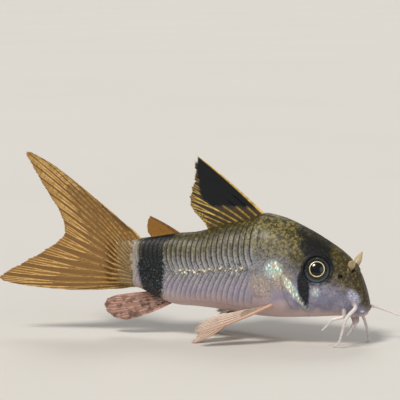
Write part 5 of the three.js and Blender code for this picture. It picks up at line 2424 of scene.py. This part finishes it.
@dataclass
class NostrilFlap:
    """Leaf of skin that stands at a front nostril."""

    side: float
    direction: tuple[float, float, float]
    width: float = 1.15
    seen_from: tuple[float, float, float] = (0.24, -0.97, 0.0)
    rows: int = 26
    columns: int = 17

    def build(self, finish: Material) -> Piece:
        """Makes the flap, a thin leaf rolled a little round its length.

        Args:
            finish: Its finish.

        Returns:
            The leaf.
        """
        at, angle, radius = FRONT_NOSTRIL
        out = SHAPE.normal(np.array(at), np.array(self.side * angle))
        along = np.array(self.direction)
        across = unit(np.cross(along, np.array(self.seen_from)))
        face = unit(np.cross(across, along))
        root = SHAPE.point(np.array(at), np.array(self.side * angle)) + out * 0.02
        root = root + np.array([-0.6 * radius, 0.0, 0.0])
        t = np.linspace(-0.12, 1.0, self.rows)[:, None]
        reach = np.linspace(-1.0, 1.0, self.columns)[None, :]
        open_t = np.clip(t, 0.0, 1.0)
        belly = 0.7 + 0.3 * np.sin(math.pi * np.clip(open_t * 0.8, 0.0, 1.0))
        width = 0.5 * self.width * belly * np.sqrt(1.0 - 0.82 * open_t**4)
        length = t * (1.0 - 0.24 * np.abs(reach) ** 2.4) * 1.08
        middle = root + length[..., None] * along + (reach * width)[..., None] * across
        roll = 0.42 * reach * reach * (0.5 + 0.5 * open_t) + 0.12 * np.sin(3.0 * t)
        middle = middle - roll[..., None] * face
        half = face * (blend_between(0.13, 0.045, open_t) * (1.0 - 0.5 * reach**4))[..., None]
        points = np.concatenate([(middle + half).reshape(-1, 3), (middle - half).reshape(-1, 3)])
        fin = np.stack([0.5 + 0.5 * reach + 0.0 * t, open_t + 0.0 * reach, length * 2.0], -1).reshape(-1, 3)
        faces = outward(points, shell_faces(self.rows, self.columns))
        name = f"nostril_leaf_{suffix_of(self.side)}"
        return mesh_piece(name, points, faces, finish, {"fin": np.concatenate([fin, fin])})


@dataclass
class Studio:
    """Pale floor, soft lights and the camera at the photo's angle."""

    azimuth: float = 14.0
    elevation: float = 7.0
    distance: float = 300.0
    lens: float = 175.5
    target: tuple[float, float, float] = (-8.7288, -0.0290, 21.3275)
    floor_half: float = 6.0

    def floor(self) -> None:
        """Lays the floor, a wide square."""
        mesh = bpy.data.meshes.new("floor")
        half = self.floor_half
        corners = [(x * half, y * half, 0.0) for x, y in ((-1, -1), (1, -1), (1, 1), (-1, 1))]
        mesh.from_pydata(corners, [], [(0, 1, 2, 3)])
        mesh.materials.append(FloorFinish().make())
        put("floor", mesh)

    def lamp(
        self, name: str, place: Sequence[float], spread: float, power: float, tint: Sequence[float]
    ) -> None:
        """Hangs a far soft lamp that faces the fish.

        Args:
            name: The lamp's name.
            place: The direction it shines from, seen from the fish.
            spread: How wide it looks from the fish, in degrees.
            power: Its strength.
            tint: Its colour.
        """
        data = bpy.data.lights.new(name, "SUN")
        data.angle = math.radians(spread)
        data.energy = power
        data.color = tuple(tint)
        lamp = put(name, data)
        lamp.location = place
        lamp.rotation_euler = (-Vector(place)).to_track_quat("-Z", "Y").to_euler()

    def light(self) -> None:
        """Sets up the soft studio light."""
        world = bpy.data.worlds.new("studio")
        world.use_nodes = True
        bench = Bench(world.node_tree)
        world.node_tree.nodes.clear()
        sky = bench.add("ShaderNodeBackground", None, {"Color": (0.94, 0.96, 1.0, 1.0), "Strength": 0.34})
        bench.add("ShaderNodeOutputWorld", None, {"Surface": sky.outputs[0]})
        bpy.context.scene.world = world
        bpy.context.scene.view_settings.view_transform = "Standard"
        self.lamp("key", (-0.1, -0.3, 0.4), 15.0, 2.6, (1.0, 0.97, 0.92))
        self.lamp("fill", (0.42, -0.3, 0.16), 40.0, 0.5, (0.93, 0.96, 1.0))
        self.lamp("rim", (-0.06, 0.3, 0.34), 30.0, 0.7, (1.0, 0.98, 0.95))

    def camera(self) -> None:
        """Places the camera."""
        a, e = math.radians(self.azimuth), math.radians(self.elevation)
        back = Vector((math.sin(a) * math.cos(e), -math.cos(a) * math.cos(e), math.sin(e)))
        target = (Vector(self.target) + Vector(SHIFT)) * MM
        data = bpy.data.cameras.new("photo_view")
        data.lens = self.lens
        data.sensor_width = 36.0
        data.clip_start = 0.01
        data.clip_end = 60.0
        camera = put("photo_view", data)
        camera.location = target + back * self.distance * MM
        camera.rotation_euler = (-back).to_track_quat("-Z", "Y").to_euler()
        bpy.context.scene.camera = camera


def settle(pieces: Sequence[Piece], nodes: Sequence[str]) -> None:
    """Lets pieces ride on the body and stand for nodes, and reports them.

    Args:
        pieces: The finished pieces.
        nodes: CAD nodes that they stand for.
    """
    for piece in pieces:
        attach(piece, BODY)
        if nodes:
            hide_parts(*nodes)
        LOG.info("%s: %d faces", piece.name, len(piece.data.polygons))


def main() -> None:
    """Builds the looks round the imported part."""
    logging.basicConfig(level=logging.INFO, format="%(message)s")
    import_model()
    studio = Studio()
    studio.floor()
    studio.light()
    studio.camera()

    skin = Skin().build(MarkedFinish("fish_skin").make())
    settle([skin], ("head", "trunk", "tail_stalk"))
    plated = MarkedFinish("fish_plates", rims=True).make()
    plates = FlankPlates()
    settle(plates.build(plated), ("trunk", "tail_stalk"))
    pores, knob = PoreTree(), RingFinish("pore_gold", 0.0, 0.4).make()
    for side in (1.0, -1.0):
        line = pores.grow(f"line_pores_{suffix_of(side)}", *plates.pores(side), knob)
        settle([line], ("trunk",))
    covers = MarkedFinish("shoulder_cover").make()
    settle([ShoulderPlate(side).build(covers) for side in (1.0, -1.0)], ("trunk",))

    ball, ring = EyeFinish().make(), RingFinish().make()
    for side in (1.0, -1.0):
        settle(Eye(side).build(ball, ring), (f"eye_{suffix_of(side)}",))

    tubes = TubeTree()
    sheets = {kind: FinFinish(f"{kind.value}_membrane", kind).make() for kind in FinKind}
    fans = {kind: FinFinish(f"{kind.value}_rays", kind, rays=True).make() for kind in FinKind}
    for fin in FinMaker().every():
        settle(fin.build(tubes, sheets[fin.kind], fans[fin.kind]), (fin.name,))

    soft = FeelerFinish().make()
    for feeler in FEELERS:
        piece = tubes.grow(f"{feeler.name}_soft", [feeler.path()], soft, 20)
        settle([piece], (feeler.name,))
    leaf = FeelerFinish("nostril_leaf", "85745a", "bba97f").make()
    for side, way in ((1.0, (0.8, 0.95, 2.1)), (-1.0, (0.75, -0.95, 1.5))):
        node = f"nostril_flap_{suffix_of(side)}"
        settle([NostrilFlap(side, way).build(leaf)], (node,))


if __name__ == "__main__":
    main()
